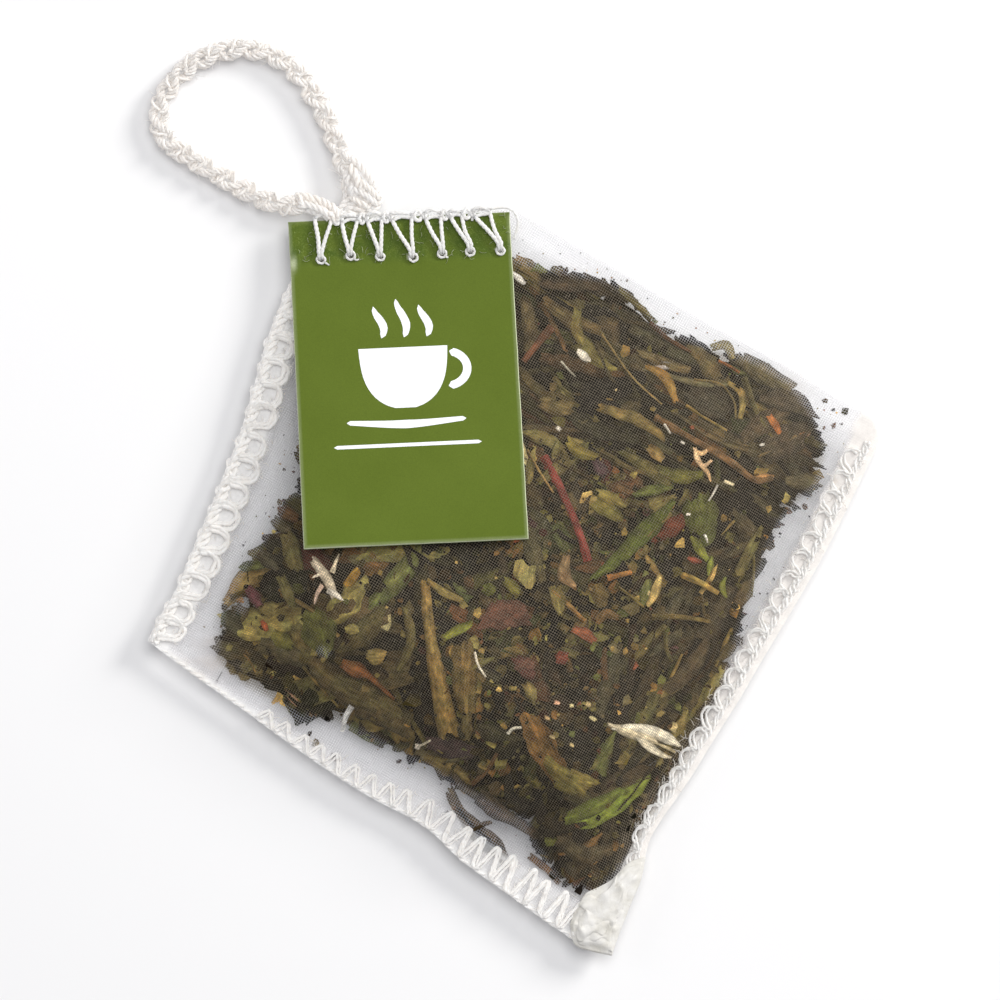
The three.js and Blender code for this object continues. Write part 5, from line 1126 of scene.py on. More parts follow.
def core():
    """The heap of small broken tea that fills the pouch behind the visible leaves, coloured near black as painted shade
    for the gaps between them.
    """
    B = Build()
    n = 150
    gx, gy = np.linspace(-36, 37, n), np.linspace(-38, 39, n)
    X, Y = np.meshgrid(gx, gy, indexing="ij")
    zt, zb = sample(FRONT, X, Y) - 1.75, sample(BACK, X, Y) + 1.0
    field = np.minimum(sample(TEA, X, Y) - 0.9 + 0.5 * fractal(X / 1.1, Y / 1.1, 5), (zt - zb - 0.25) * 1.2)
    mid = np.maximum(zb, np.minimum(zt, zb + 0.42 * (zt - zb)))
    k = np.sqrt(np.clip(field / 2.2, 0, 1))
    rough = 0.35 * fractal(X / 0.9, Y / 0.9, 21, 3)
    up = mid + np.maximum(0.05, zt - mid + rough) * k
    dn = mid - np.maximum(0.05, mid - zb + 0.3 * fractal(X / 1.2, Y / 1.2, 33)) * k
    keep = field > 0
    cell = keep[:-1, :-1] & keep[1:, :-1] & keep[:-1, 1:] & keep[1:, 1:]
    i, j = np.nonzero(cell)
    a = i * n + j
    quads = np.stack([a, a + n, a + n + 1, a + 1], 1)
    under = quads[:, ::-1] + n * n
    edges = {}
    for q in quads:
        for e in range(4):
            edges[(q[e], q[(e + 1) % 4])] = 1
    rim = [(p, q) for p, q in edges if (q, p) not in edges]
    rim = np.array([[q, p, p + n * n, q + n * n] for p, q in rim])
    allq = np.vstack([quads, under, rim])
    used, inv = np.unique(allq, return_inverse=True)
    v = np.vstack([np.stack([X, Y, up], -1).reshape(-1, 3), np.stack([X, Y, dn], -1).reshape(-1, 3)])[used]
    # near-black colour: painted shade for the gaps between the leaves, with random tone
    col = srgb("#120f0b") * (1 + 0.5 * fractal(v[:, 0] * 1.3, v[:, 1] * 1.3, 3))[:, None]
    B.add(v, quads=inv.reshape(-1, 4), col=col, uv=v[:, :2])
    return B


WITHIN = np.where(inside([*LEFT[::-1], *BOTTOM[1:], *RIGHT[1:], *FOLD[::-1][1:], TOP[0]], XX, YY), 1, -1)


def put_tea():
    B = core()
    place(B.object("tea_core", MAT["loose"]), "loose", "loose_leaf_bed")

    B = Build()
    r = np.random.default_rng(21)
    # painted shade: the fifth argument colours each layer darker the deeper it lies (deep 0.36, middle 0.66, upper 1.1,
    # under 0.8)
    scatter(B, r, 430, (1.3, 2.3), 0.36, scale=1.1)
    place(B.object("leaves_deep", MAT["loose"], sharp=46), "loose")
    COVER[:] = 0
    B = Build()
    scatter(B, r, 560, (0.35, 1.2), 0.66, margin=0.4)
    place(B.object("leaves_middle", MAT["dark"], sharp=46), "dark")
    B = Build()
    scatter(B, r, 270, (0.0, 0.5), 1.1, margin=0.3, flatten=0.6, scale=1.12)
    place(B.object("leaves_upper", MAT["dark"], sharp=46), "dark")
    COVER[:] = 0
    B = Build()
    scatter(B, r, 300, (0.0, 0.6), 0.8, under=True, scale=1.1)
    place(B.object("leaves_under", MAT["loose"], sharp=46), "loose")

    # crumbs: in the gaps, over the chips, and loose in the empty margins
    B = Build()
    r = np.random.default_rng(31)
    cells = np.argwhere((TEA > -0.35) & (WITHIN > 0) & (D["left"] > 4.6) & (D["bottom"] > 4.4) & (D["right"] > 2.4))
    w = np.array([{"chip": 3.2, "broad": 0.7, "side": 1.2, "long": 0.5}[region(GX[c[0]], GY[c[1]])] for c in cells])
    w = w * np.where(TEA[cells[:, 0], cells[:, 1]] < 1.0, 0.7, 1.0)
    c = cells[r.choice(len(cells), 2600, p=w / w.sum())]
    x, y = GX[c[:, 0]] + r.uniform(-0.3, 0.3, len(c)), GY[c[:, 1]] + r.uniform(-0.3, 0.3, len(c))
    size = r.gamma(3.0, 0.27, len(c)).clip(0.25, 1.9)
    colour = np.array([pick(r, dict(dark=5, olive=3, brown=1.6, green=0.7, tan=0.7, red=0.16, pale=0.10)) for _ in c])
    zt, zb = sample(FRONT, x, y), sample(BACK, x, y)
    z = zt - SHEET / 2 - TOP_CLEAR - 0.12 - r.uniform(0, 1.1, len(c)) ** 1.5 - 0.12 * size
    z = np.maximum(z, zb + SHEET / 2 + 0.25 + 0.2 * size)
    chips(B, r, x, y, size, colour, z, 0.1 + 0.15 * r.random(len(c)))
    PEAKS.append(np.stack([x, y, z], 1)[z > zt - 0.8])
    sp = np.array(SPECKS)
    sp = sp[(sample(WITHIN, sp[:, 0], sp[:, 1]) > 0.9) & (sample(D["fold"], sp[:, 0], sp[:, 1]) > 0.5)]
    z = (sample(FRONT, sp[:, 0], sp[:, 1]) + sample(BACK, sp[:, 0], sp[:, 1])) / 2
    chips(B, r, sp[:, 0], sp[:, 1], r.uniform(0.3, 0.9, len(sp)), np.array([pick(r, dict(dark=2, olive=2, brown=2, tan=1)) for _ in sp]), z, np.full(len(sp), 0.12))
    dust = np.argwhere((TEA > -3.2) & (TEA < -0.2) & (WITHIN > 0) & (D["left"] > 4.9) & (D["bottom"] > 4.9) & (D["right"] > 2.6) & (D["fold"] > 0.8))
    c = dust[r.choice(len(dust), 150)]
    x, y = GX[c[:, 0]] + r.uniform(-0.3, 0.3, len(c)), GY[c[:, 1]] + r.uniform(-0.3, 0.3, len(c))
    z = (sample(FRONT, x, y) + sample(BACK, x, y)) / 2
    chips(B, r, x, y, r.uniform(0.1, 0.32, len(c)), np.array([pick(r, dict(dark=2, olive=2, brown=2, tan=1)) for _ in c]), z, np.full(len(c), 0.06))
    place(B.object("tea_crumbs", MAT["loose"], sharp=46), "loose")


SLOT_OF = {}
for names, s in ((("red_stem", "red_twig"), "red"),
                 (("orange_stem", "tan_stem", "olive_long_stem", "curved_small_stem", "brown_main_stem", "straw_stem", "dark_olive_stem", "cream_twin_stem"), "dry"),
                 (("green_lance_leaf", "green_broad_leaf", "upper_green_blade", "small_green_leaf_a", "small_green_leaf_b", "green_disc_chip",
                   "green_blade_small", "big_green_leaf", "light_green_leaf", "bright_green_blade"), "green"),
                 (("tan_curl_chip", "pale_square_chip", "narrow_tan_leaf", "brown_curl_chip", "broad_tan_leaf", "tan_disc", "tan_ring_chip", "golden_stub",
                   "tan_orange_leaf", "tan_blade", "tan_olive_leaf", "brown_spoon_leaf"), "tan"),
                 (("maroon_chip", "orange_chip", "red_chip", "maroon_round_chip"), "fruit"),
                 (("star_petal", "forked_cream_petal"), "petal"),
                 (("olive_side_leaf", "olive_side_leaf_b", "large_olive_leaf", "forked_dark_twig", "upright_olive_leaf", "dark_long_leaf",
                   "big_twisted_leaf", "dark_oval_leaf", "right_dark_leaf", "olive_top_leaf"), "dark")):
    for n_ in names:
        SLOT_OF[n_] = s
STYLE = {  # roll, twist, crinkle, vein, ragged edge
    "straw_stem": (0.8, 0.0, 0.05, 0.3, 0.05), "big_twisted_leaf": (1.3, 1.2, 0.2, 0.5, 0.12), "dark_oval_leaf": (0.5, 0.1, 0.12, 0.4, 0.05),
    "big_green_leaf": (0.3, 0.1, 0.22, 0.5, 0.12), "pale_square_chip": (0.12, 0.0, 0.12, 0.0, 0.16), "tan_disc": (0.15, 0, 0.12, 0, 0.1),
    "star_petal": (0.9, 0.6, 0.15, 0.3, 0.2), "forked_cream_petal": (0.7, 0.3, 0.12, 0.5, 0.15), "bright_green_blade": (0.6, 0.1, 0.1, 0.5, 0.06),
    "broad_tan_leaf": (0.25, 0.0, 0.12, 0.4, 0.06), "large_olive_leaf": (0.2, 0.0, 0.15, 0.3, 0.12), "maroon_chip": (0.3, 0.1, 0.3, 0.0, 0.25),
    "tan_orange_leaf": (0.5, 0.3, 0.3, 0.3, 0.3), "dark_olive_stem": (1.0, 0.1, 0.1, 0.3, 0.08), "brown_spoon_leaf": (0.4, 0.1, 0.05, 0.2, 0.04),
}


def put_named():
    for k, (name, kind, pts, widths, thick, colour) in enumerate(PIECES):
        r = np.random.default_rng(500 + k)
        B = Build()
        s = SLOT_OF[name]
        c = srgb(colour) * KIND_TONE.get(s, WARM) * (BRIGHT if s != "petal" else 0.9)
        if kind == "stem":
            stem(B, r, pts, widths[0], c, -0.12, 0.15)
        else:
            roll, twist, crinkle, vein, rag = STYLE.get(name, (0.35, 0.15, 0.14, 0.3, 0.14))
            leaf(B, r, pts, widths, c, -0.12, min(0.22, thick * 0.4), roll, twist, 0.0, rag, crinkle, 0.05, 9, 0.28, vein)
        place(B.object(name + "_fine", MAT[s], sharp=50), s, name)
    groups = {}
    for k, (kind, pts, widths, colour, s) in enumerate(EXTRAS):
        r = np.random.default_rng(900 + k)
        B = groups.setdefault(s, Build())
        c = srgb(colour) * KIND_TONE.get(s, WARM) * (BRIGHT if s != "petal" else 0.85)
        if kind == "stem":
            stem(B, r, pts, widths[0], c, -0.13 if s in ("petal",) else -0.05, 0.3, ridges=3)
        else:
            small = max(widths) < 0.9
            leaf(B, r, pts, widths, c, -0.13 if s == "petal" else -0.04, 0.1 if small else 0.16, 0.4, r.normal(0, 0.25), 0.0, 0.12 if small else 0.2,
                 0.05 if small else 0.16, 0.05, 5 if small else 7, 0.25 if small else 0.32, 0.25)
    for s, B in groups.items():
        place(B.object("loose_" + s + "_pieces", MAT[s], sharp=50), s)


put_tea()
put_named()

# ---------------------------------------------------------------- the cloth, draped over the tea
def drape():
    """Height of the front panel: a stretched membrane, held at the stitching and the fold, that lies on the leaves.
    Solved by repeated averaging with the leaves as the obstacle."""
    under = np.full(FRONT.shape, -1e3)
    p = np.vstack(PEAKS)
    i = np.clip(np.round((p[:, 0] - GX[0]) / GS).astype(int), 0, len(GX) - 1)
    j = np.clip(np.round((p[:, 1] - GY[0]) / GS).astype(int), 0, len(GY) - 1)
    np.maximum.at(under, (i, j), p[:, 2] + SHEET / 2 + 0.1)
    for _ in range(1):  # a leaf holds the cloth up beside its own points too
        for a in (0, 1):
            for d in (-1, 1):
                under = np.maximum(under, np.roll(under, d, a) - 0.05)
    fixed = (D["left"] < SEAM_W) | (D["bottom"] < SEAM_W) | (D["right"] < SEAM_W_RIGHT) | (D["fold"] < 0.9) | (D["top"] < 5.0)
    fixed |= ~inside([*LEFT[::-1], *BOTTOM[1:], *RIGHT[1:], *FOLD[::-1][1:], TOP[0]][::1], XX, YY)
    z = FRONT.copy()
    floor_z = np.minimum(under, FRONT + 0.05)
    for k in range(260):
        m = (np.roll(z, 1, 0) + np.roll(z, -1, 0) + np.roll(z, 1, 1) + np.roll(z, -1, 1)) / 4
        m = np.maximum(m - 0.002, floor_z)
        z = np.where(fixed, FRONT, m)
    z = np.minimum(z, FRONT + 0.05)
    # never sink further than a leaf's depth below the plain bulge
    return np.where(fixed, FRONT, np.maximum(z, FRONT - 1.1))


DRAPED = drape()
fold_dir = np.array([math.cos(FOLD_DIR), math.sin(FOLD_DIR)])
cross_dir = np.array([-fold_dir[1], fold_dir[0]])


def cloth_length(field):
    """Distance run over the cloth along each thread direction, so that the weave keeps its pitch on the slopes."""
    n, h = 250, 0.5
    a = (np.arange(n) - n / 2) * h
    A, C = np.meshgrid(a, a, indexing="ij")
    X, Y = A * fold_dir[0] + C * cross_dir[0], A * fold_dir[1] + C * cross_dir[1]
    z = sample(field, X, Y)
    ga, gc = np.gradient(z, h, axis=0), np.gradient(z, h, axis=1)
    U = np.cumsum(np.sqrt(1 + ga ** 2), axis=0) * h
    V = np.cumsum(np.sqrt(1 + gc ** 2), axis=1) * h
    U -= U[n // 2:n // 2 + 1, :]
    V -= V[:, n // 2:n // 2 + 1]

    def read(x, y):
        s, t = (x * fold_dir[0] + y * fold_dir[1]) / h + n / 2, (x * cross_dir[0] + y * cross_dir[1]) / h + n / 2
        s, t = np.clip(s, 0, n - 1.01), np.clip(t, 0, n - 1.01)
        i, j = s.astype(int), t.astype(int)
        f, g = s - i, t - j
        out = []
        for M in (U, V):
            out.append((M[i, j] * (1 - f) + M[i + 1, j] * f) * (1 - g) + (M[i, j + 1] * (1 - f) + M[i + 1, j + 1] * f) * g)
        return np.stack(out, -1)
    return read


def upper(u):
    return np.where((u <= 1 / 3)[:, None], lines["top"].at(np.clip(u * 3, 0, 1) * lines["top"].length),
                    lines["fold"].at(np.clip((u - 1 / 3) * 1.5, 0, 1) * lines["fold"].length))


def outline(u, v):
    """The cloth's plan, from the four sides: u from the left seam to the right, v from the bottom seam to the fold."""
    b = lines["bottom"].at(u * lines["bottom"].length)[:, None]
    t = upper(u)[:, None]
    l = lines["left"].at(v * lines["left"].length)[None]
    r = lines["right"].at(v * lines["right"].length)[None]
    U, V = u[:, None, None], v[None, :, None]
    e, d, a, c = b[0, 0], b[-1, 0], t[0, 0], t[-1, 0]
    return (1 - V) * b + V * t + (1 - U) * l + U * r - ((1 - U) * (1 - V) * e + U * (1 - V) * d + (1 - U) * V * a + U * V * c)


def pucker(X, Y):
    """Small waves that the stitching pulls into the margins, and creases that run in from the corners."""
    out = np.zeros_like(X)
    for key, pitch, amp in (("left", 3.2, 0.10), ("bottom", 2.5, 0.08), ("right", 3.0, 0.10)):
        L = lines[key]
        t = L.at(L.length) - L.at(0)
        t /= np.linalg.norm(t)
        s = X * t[0] + Y * t[1]
        d = distance(L, X, Y)
        out += amp * np.sin(2 * np.pi * s / pitch + 1.5 * noise(s / 9, 0.5, 3)) * np.exp(-((d - 3.6) / 3.2) ** 2)
    for (cx, cy), ang, wide in ((LEFT[0], 0.25, 0.16), (BOTTOM[-1], 1.75, 0.16), (FOLD[-1], 3.4, 0.2), (TOP[0], -1.0, 0.2)):
        dx, dy = X - cx, Y - cy
        rr, th = np.hypot(dx, dy), np.arctan2(dy, dx)
        k = np.angle(np.exp(1j * (th - ang)))
        out += 0.22 * np.cos(k / wide * 3.0) * np.exp(-(k / 0.6) ** 2) * smooth((rr - 5) / 4) * np.exp(-rr / 9)
    return out


def put_pouch():
    nu, nv = 132, 120
    u = np.linspace(0, 1, nu)
    # keep a grid line on the corner where the top seam ends and the fold starts
    u[int(np.argmin(abs(u - 1 / 3)))] = 1 / 3
    v = np.linspace(0, 1, nv)
    P = outline(u, v)
    X, Y = P[..., 0], P[..., 1]
    p = pucker(X, Y)
    df = distance(lines["fold"], X, Y)
    open_ = smooth(df / 3)
    zf = sample(DRAPED, X, Y) + p * open_ + 0.02 * noise(X / 1.3, Y / 1.3, 4) * open_
    zb = np.maximum(sample(BACK, X, Y) + p * open_ * smooth((sample(BACK, X, Y) - 0.1) / 1.0), SHEET / 2)
    zf = np.maximum(zf, zb + 0.3)
    dense = np.zeros_like(X)
    uu, vv = np.meshgrid(u, v, indexing="ij")
    for key, along, widths, thick in (("left", vv, (2.9, 3.3, 3.4, 3.3, 3.1, 2.9), 0.88), ("bottom", uu, (1.0, 1.0, 1.3, 1.8, 2.2, 3.2, 3.8, 4.1, 4.1), 0.52),
                                      ("right", vv, (1.6, 1.6, 1.8, 2.3, 2.6, 2.9, 3.1, 3.3), 0.86)):
        d = distance(lines[key], X, Y)
        wide = np.interp(along, np.linspace(0, 1, len(widths)), widths) + 0.3
        dense = np.maximum(dense, smooth((wide - d) / 0.7) * (thick + (0.98 - thick) * smooth((0.9 - d) / 0.6)))
    dense = np.maximum(dense, 0.62 * smooth((3.4 - np.hypot(X - FOLD[-1][0], Y - FOLD[-1][1])) / 1.0))
    dense = np.maximum(dense, 0.9 * smooth((0.55 - df) / 0.4) * (X > 0))
    stain = 0.34 * smooth((3.6 - distance(lines["right"], X, Y)) / 0.8)  # the right band is creamier
    for cx, cy, rad, k in STAINS:
        stain = np.maximum(stain, k * np.exp(-((X - cx) ** 2 + (Y - cy) ** 2) / rad ** 2) * (0.6 + 0.5 * noise(X * 1.3, Y * 1.3, 77)))
    # blue: over the tea, where the thread takes its painted shade colour
    col = np.dstack([dense, np.clip(stain, 0, 1), smooth((sample(TEA, X, Y) + 0.25) / 0.7)])
    top_read, back_read = cloth_length(DRAPED), cloth_length(BACK)
    B = Build()
    B.add(np.dstack([X, Y, zf]), quads=grid_quads(nu, nv), col=col.reshape(-1, 3), uv=top_read(X, Y))
    uvb = back_read(X, Y)
    B.add(np.dstack([X, Y, zb]), quads=grid_quads(nu, nv, True), col=col.reshape(-1, 3), uv=uvb.reshape(-1, 2) * [1, -1] + [0.09, 0.13])
    # the fold joins the panels with a small round strip
    k0 = int(np.argmin(abs(u - 1 / 3)))
    front = np.stack([X[k0:, -1], Y[k0:, -1], zf[k0:, -1]], 1)
    back = np.stack([X[k0:, -1], Y[k0:, -1], zb[k0:, -1]], 1)
    t = np.gradient(front[:, :2], axis=0)
    t /= np.linalg.norm(t, axis=1, keepdims=True)
    out = np.stack([-t[:, 1], t[:, 0]], 1)
    rows = []
    for a in np.linspace(0, np.pi, 5)[1:-1]:
        mid = (front + back) / 2
        half = (front[:, 2] - back[:, 2]) / 2
        rows.append(np.column_stack([mid[:, :2] + out * (PANEL_HALF_GAP * 1.2 * np.sin(a)), mid[:, 2] + half * np.cos(a)]))
    n = len(front)
    start = B.n
    B.add(np.vstack(rows), col=(0.75, 0, 0), uv=np.tile(uvb[k0:, -1], (3, 1)))
    ids = [np.arange(k0, nu) * nv + nv - 1] + [start + np.arange(n) + n * k for k in range(3)] + [nu * nv + np.arange(k0, nu) * nv + nv - 1]
    for a, b in zip(ids[:-1], ids[1:]):
        B.quads.append(np.stack([a[:-1], a[1:], b[1:], b[:-1]], 1))
    o = place(B.object("pouch_cloth", MAT["mesh"]), "mesh", "mesh_pouch")
    co = np.zeros(len(o.data.vertices) * 3, np.float32)
    return o


# ---------------------------------------------------------------- overlock stitching
def seam_frame(key, inward):
    L = lines[key]

    def at(s, d, z):
        """Points s along the edge, d in from it, z above the seam plane."""
        s, d, z = np.broadcast_arrays(np.asarray(s, float), np.asarray(d, float), np.asarray(z, float))
        p = L.at(np.clip(s, 0, L.length))
        t = L.along(s, 1.2)
        extra = s - np.clip(s, 0, L.length)
        n = np.stack([-t[..., 1], t[..., 0]], -1) * inward
        q = p + n * d[..., None] + t * extra[..., None]
        return np.concatenate([q, (SEAM_Z + z)[..., None]], -1)
    return L, at


def soft(B, pts, rad, seed, sides=8, ply=2, twist=0.95, groove=0.24, flat=0.9, shake=0.07, per=6, col=(1, 1, 1), grow=(1, 1)):
    """A fluffy thread: its path wavers a little and its thickness is uneven."""
    p = spaced(pts, 0.16, per)
    s = np.arange(len(p)) * 0.16
    p = p + shake * np.stack([fractal(s / 0.9, k + 0.5, seed + 7 * k) for k in range(3)], -1)
    tube(B, p, rad * np.interp(s / s[-1], [0, 0.35, 0.7, 1], [grow[0], grow[0], grow[1], grow[1]]) * (1 + 0.24 * noise(s / 0.75, 0.5, seed + 40)), sides, ply, twist, groove, flat=flat, col=col)


def seam_ladder(key, inward, pitch, name, node_name, start, end, widths, seed=1, r0=0.2, edge=0.0, tint=1.0, sink=0.0):
    """Ladder look: doubled rungs between a lumpy chain at the edge and a scalloped line at the needle, with oval gaps between them.
    widths are read along the seam."""
    r = np.random.default_rng(seed)
    L, at = seam_frame(key, inward)
    B = Build()
    hi = PANEL_HALF_GAP + SHEET / 2 + 0.20 - sink
    stitches = np.arange(start, L.length - end, pitch)
    stitches = stitches + r.normal(0, 0.06 * pitch, len(stitches))
    wide = lambda q: np.interp(np.asarray(q) / L.length, np.linspace(0, 1, len(widths)), widths)
    for side in (1, -1):
        for lane, rad in ((0.0, r0), (0.36, r0 * 0.86)):
            pts = []
            for s in stitches:
                j = r.normal(0, 0.11, 10)
                w = float(wide(s)) * (1 + 0.05 * r.normal())
                c = min(0.9, 0.4 * w)
                for k, (ds, d, dz) in enumerate(((-0.66, c, 0.22), (-0.56, c + 0.25 * (w - c), 0.10), (-0.48, c + 0.55 * (w - c), 0.02), (-0.42, w - 0.35, 0.02),
                                                 (-0.27, w - 0.02, 0.06), (-0.06, w + 0.14, 0.02), (0.14, w + 0.02, 0.06), (0.29, w - 0.38, 0.10),
                                                 (0.37, c + 0.5 * (w - c), 0.16), (0.34, c + 0.15 * (w - c), 0.22))):
                    pts.append(at(s + ds * pitch + j[0] * 0.5 + lane * 0.9 + 0.05 * pitch * (d / w), edge + d + j[k % 5] * 0.4 - lane * 0.5, z=side * (hi + 0.25 * lane + dz)))
            # tint multiplies the thread colour; a value below 1 is painted shade
            soft(B, pts, rad, seed + 3, shake=0.12, col=(tint, tint, tint))
    # the chain near the edge: soft strands that lie over one another until little shows between them
    s = np.arange(start - 0.7 * pitch, L.length - end + 0.7 * pitch, 0.16)
    wd = np.minimum(0.42, 0.14 * wide(s))
    for k in range(3):
        ph = 2 * np.pi * s / pitch * 1.0 + 2 * np.pi / 3 * k + 0.5 * noise(s / 3.0, 0.5, seed + k)
        d = edge + np.minimum(0.72, 0.24 * wide(s)) + wd * np.sin(ph) + 0.10 * noise(s / 1.3, 0.3, seed + 5 + k)
        z = hi + 0.02 + (0.22 - 0.6 * sink) * np.cos(ph)
        soft(B, at(s, d, z)[::3], r0 * 1.0, seed + 60 + k, shake=0.16, per=4, col=(tint, tint, tint))
    # loops round the raw edge
    pts = []
    for s0 in stitches:
        j = r.normal(0, 0.08, 4)
        for ds, d, z in ((-0.42, 0.9, hi), (-0.25, 0.35, hi * 0.9), (-0.05, -0.02 + j[0], hi * 0.35), (0.12, -0.02 + j[1], -hi * 0.35), (0.3, 0.4, -hi * 0.9), (0.42, 0.9, -hi),
                         (0.5, 0.5, -hi * 0.8), (0.54, 0.08, 0)):
            pts.append(at(s0 + ds * pitch, edge + d, z))
    soft(B, pts, r0 * 0.72, seed + 90, shake=0.1, col=(tint, tint, tint))
    # frayed fibres along both sides
    for s0 in stitches:
        for k in range(9):
            w = float(wide(s0))
            d0 = edge + (w + 0.25 + r.normal(0, 0.15) if k < 4 else r.uniform(0.0, w))
            a = at(s0 + r.uniform(-0.5, 0.5) * pitch, d0, hi + 0.15)
            b = a + np.array([r.normal(0, 0.35), r.normal(0, 0.35), abs(r.normal(0, 0.12))])
            c = b + np.array([r.normal(0, 0.35), r.normal(0, 0.35), -0.1])
            tube(B, spaced([a, b, c], 0.2, 5), 0.03, 4, col=(1.0, 0.96, 0.90))
    o = B.object(name, MAT["seam"])
    return place(o, "seam", node_name)


def seam_zigzag(key, inward, pitch, name, node_name, start, end, widths, seed=2, r0=0.235):
    """Zigzag look: steep bright legs and slanting return legs between the edge and the needle line. Narrow and crossed at the first end."""
    r = np.random.default_rng(seed)
    L, at = seam_frame(key, inward)
    B = Build()
    hi = PANEL_HALF_GAP + SHEET / 2 + 0.16
    stitches = np.arange(start, L.length - end, pitch)
    stitches = stitches + r.normal(0, 0.05 * pitch, len(stitches))
    wide = lambda q: np.interp(np.asarray(q) / L.length, np.linspace(0, 1, len(widths)), widths)
    for side in (1, -1):
        pts = []
        for s in stitches:
            j = r.normal(0, 0.10, 6)
            w = float(wide(s)) * (0.94 + 0.1 * r.random())
            b = 0.45
            for ds, d, dz in ((-0.05, b - 0.15, 0.05), (0.0, b + 0.15, 0.08), (0.10, b + 0.5 * (w - b), 0.06), (0.21, w - 0.25, 0.03), (0.29, w, 0.0), (0.37, w - 0.2, 0.0),
                              (0.55, b + 0.55 * (w - b), 0.0), (0.75, b + 0.15, 0.02), (0.85, b - 0.12, 0.03)):
                pts.append(at(s + ds * pitch + 0.5 * j[0], d + 0.5 * j[1], side * (hi + dz)))
        soft(B, pts, r0, seed + 3, shake=0.09, grow=(0.72, 1.0), col=(0.98, 0.98, 0.98))
        # the finer looper thread behind it; where the seam is narrow it crosses the first one
        pts = []
        for s in stitches:
            j = r.normal(0, 0.08, 4)
            w = float(wide(s))
            cross = 0.13
            for ds, d, dz in ((0.0, 0.35, 0.0), (0.12, 0.5 * w, -0.05), (0.25, w - 0.1, -0.08), (0.35, w - 0.1, -0.08), (0.6, 0.5 * w, -0.05), (0.85, 0.35, 0.0)):
                pts.append(at(s + (ds + cross) * pitch + 0.4 * j[0], d + 0.4 * j[1], side * (hi + dz)))
        soft(B, pts, r0 * 0.68, seed + 5, sides=7, shake=0.09, grow=(0.8, 1.0))
    # the rolled raw edge and a soft scalloped thread over it
    s = np.arange(1.5, L.length - end + pitch, 0.16)
    for k in (0, 1):
        ph = 2 * np.pi * s / pitch + np.pi * k
        d = 0.22 + 0.12 * np.sin(ph) + 0.08 * noise(s / 1.6, 0.3, seed + 5 + k)
        z = 0.05 + 0.24 * np.cos(ph)
        tube(B, at(s, d, z), r0 * 0.6 * (1 + 0.2 * noise(s / 1.1, 1.2, seed + 8 + k)), 8, 2, 1.0, 0.22)
    for s0 in stitches:
        for _ in range(5):
            a = at(s0 + r.uniform(0, 1) * pitch, r.uniform(0.0, float(wide(s0)) + 0.2), hi + 0.12)
            b = a + np.array([r.normal(0, 0.3), r.normal(0, 0.3), abs(r.normal(0, 0.10))])
            c = b + np.array([r.normal(0, 0.3), r.normal(0, 0.3), -0.08])
            tube(B, spaced([a, b, c], 0.2, 5), 0.028, 4, col=(1.0, 0.96, 0.90))
    o = B.object(name, MAT["seam"])
    return place(o, "seam", node_name)


def put_corner(name, low, right, high, left, rise, seed):
    """Cloth bunched in several layers at a corner, as a closed wrinkled shell inside four edges."""
    n = 46
    t = np.linspace(0, 1, n)
    read = lambda pts: (lambda L: L.at(t * L.length))(Line(pts, 12))
    b, a, l, r_ = read(low), read(high), read(left), read(right)
    B = Build()
    for layer, (shrink, lift) in enumerate(((0.0, 0.0), (0.16, 0.16), (0.30, 0.30))):
        U, V = np.meshgrid(t, t, indexing="ij")
        U3, V3 = U[..., None], V[..., None]
        P = (1 - V3) * b[:, None] + V3 * a[:, None] + (1 - U3) * l[None] + U3 * r_[None]
        P = P - ((1 - U3) * (1 - V3) * b[0] + U3 * (1 - V3) * b[-1] + (1 - U3) * V3 * a[0] + U3 * V3 * a[-1])
        mid = P.mean((0, 1))
        q = seed + 31 * layer
        edge = shrink * (1 + 0.9 * noise(U * 5 + layer, V * 5, q))[..., None]
        P = P + (mid - P) * edge + np.array([0.5, -0.3]) * shrink * (1 if layer % 2 else -1)
        near = np.minimum(np.minimum(U, 1 - U), np.minimum(V, 1 - V))
        X, Y = P[..., 0], P[..., 1]
        crease = 1 - np.abs(fractal(X / 2.4 + q, Y / 2.4, q + 2, 2))
        z = SEAM_Z + PANEL_HALF_GAP + SHEET + rise * (0.25 + 0.5 * smooth(near / 0.12)) + lift + 0.34 * (crease ** 3 - 0.4) * smooth(near / 0.10)
        top = np.dstack([X, Y, z])
        low_ = np.dstack([X, Y, np.minimum(z - 0.12, SEAM_Z + 0.35 + lift * 0.8)])
        tone = 0.97 + 0.05 * fractal(X / 0.8, Y / 0.8, q + 7)
        col = np.repeat(tone.reshape(-1, 1), 3, 1) * [1.0, 0.99, 0.965]
        faces = shell_faces(n, n)
        nrm = np.cross(top[1, 0] - top[0, 0], top[0, 1] - top[0, 0])
        B.add(np.vstack([top.reshape(-1, 3), low_.reshape(-1, 3)]), quads=faces if nrm[2] > 0 else faces[:, ::-1],
              col=np.clip(np.vstack([col, col]), 0, 1), uv=np.vstack([np.dstack([X, Y]).reshape(-1, 2)] * 2))
    place(B.object(name, MAT["fold"]), "mesh")


# ---------------------------------------------------------------- tag
def tag_under(y):
    return SEAM_Z + PANEL_HALF_GAP + SHEET / 2 + 0.15 + tag_rise(TAG_TOP_Y - np.asarray(y, float))


_d = np.linspace(0, 40, 801)
_run = np.concatenate([[0], np.cumsum(np.hypot(np.diff(_d), np.diff(tag_rise(_d))))])


def tag_point(a, b, lift=0.0):
    """A point of the tag: a across it, b down it along the card, lift above its face."""
    d = np.interp(b, _run, _d)
    slope = (tag_rise(d + 0.05) - tag_rise(d - 0.05)) / 0.1
    n = np.sqrt(1 + slope ** 2)
    y = TAG_TOP_Y - d + slope / n * (TAG_T + lift)
    z = tag_under(TAG_TOP_Y - d) + (TAG_T + lift) / n
    return np.stack(np.broadcast_arrays(TAG_X0 - 0.12 + a + TAG_TURN * d, y, z), -1)


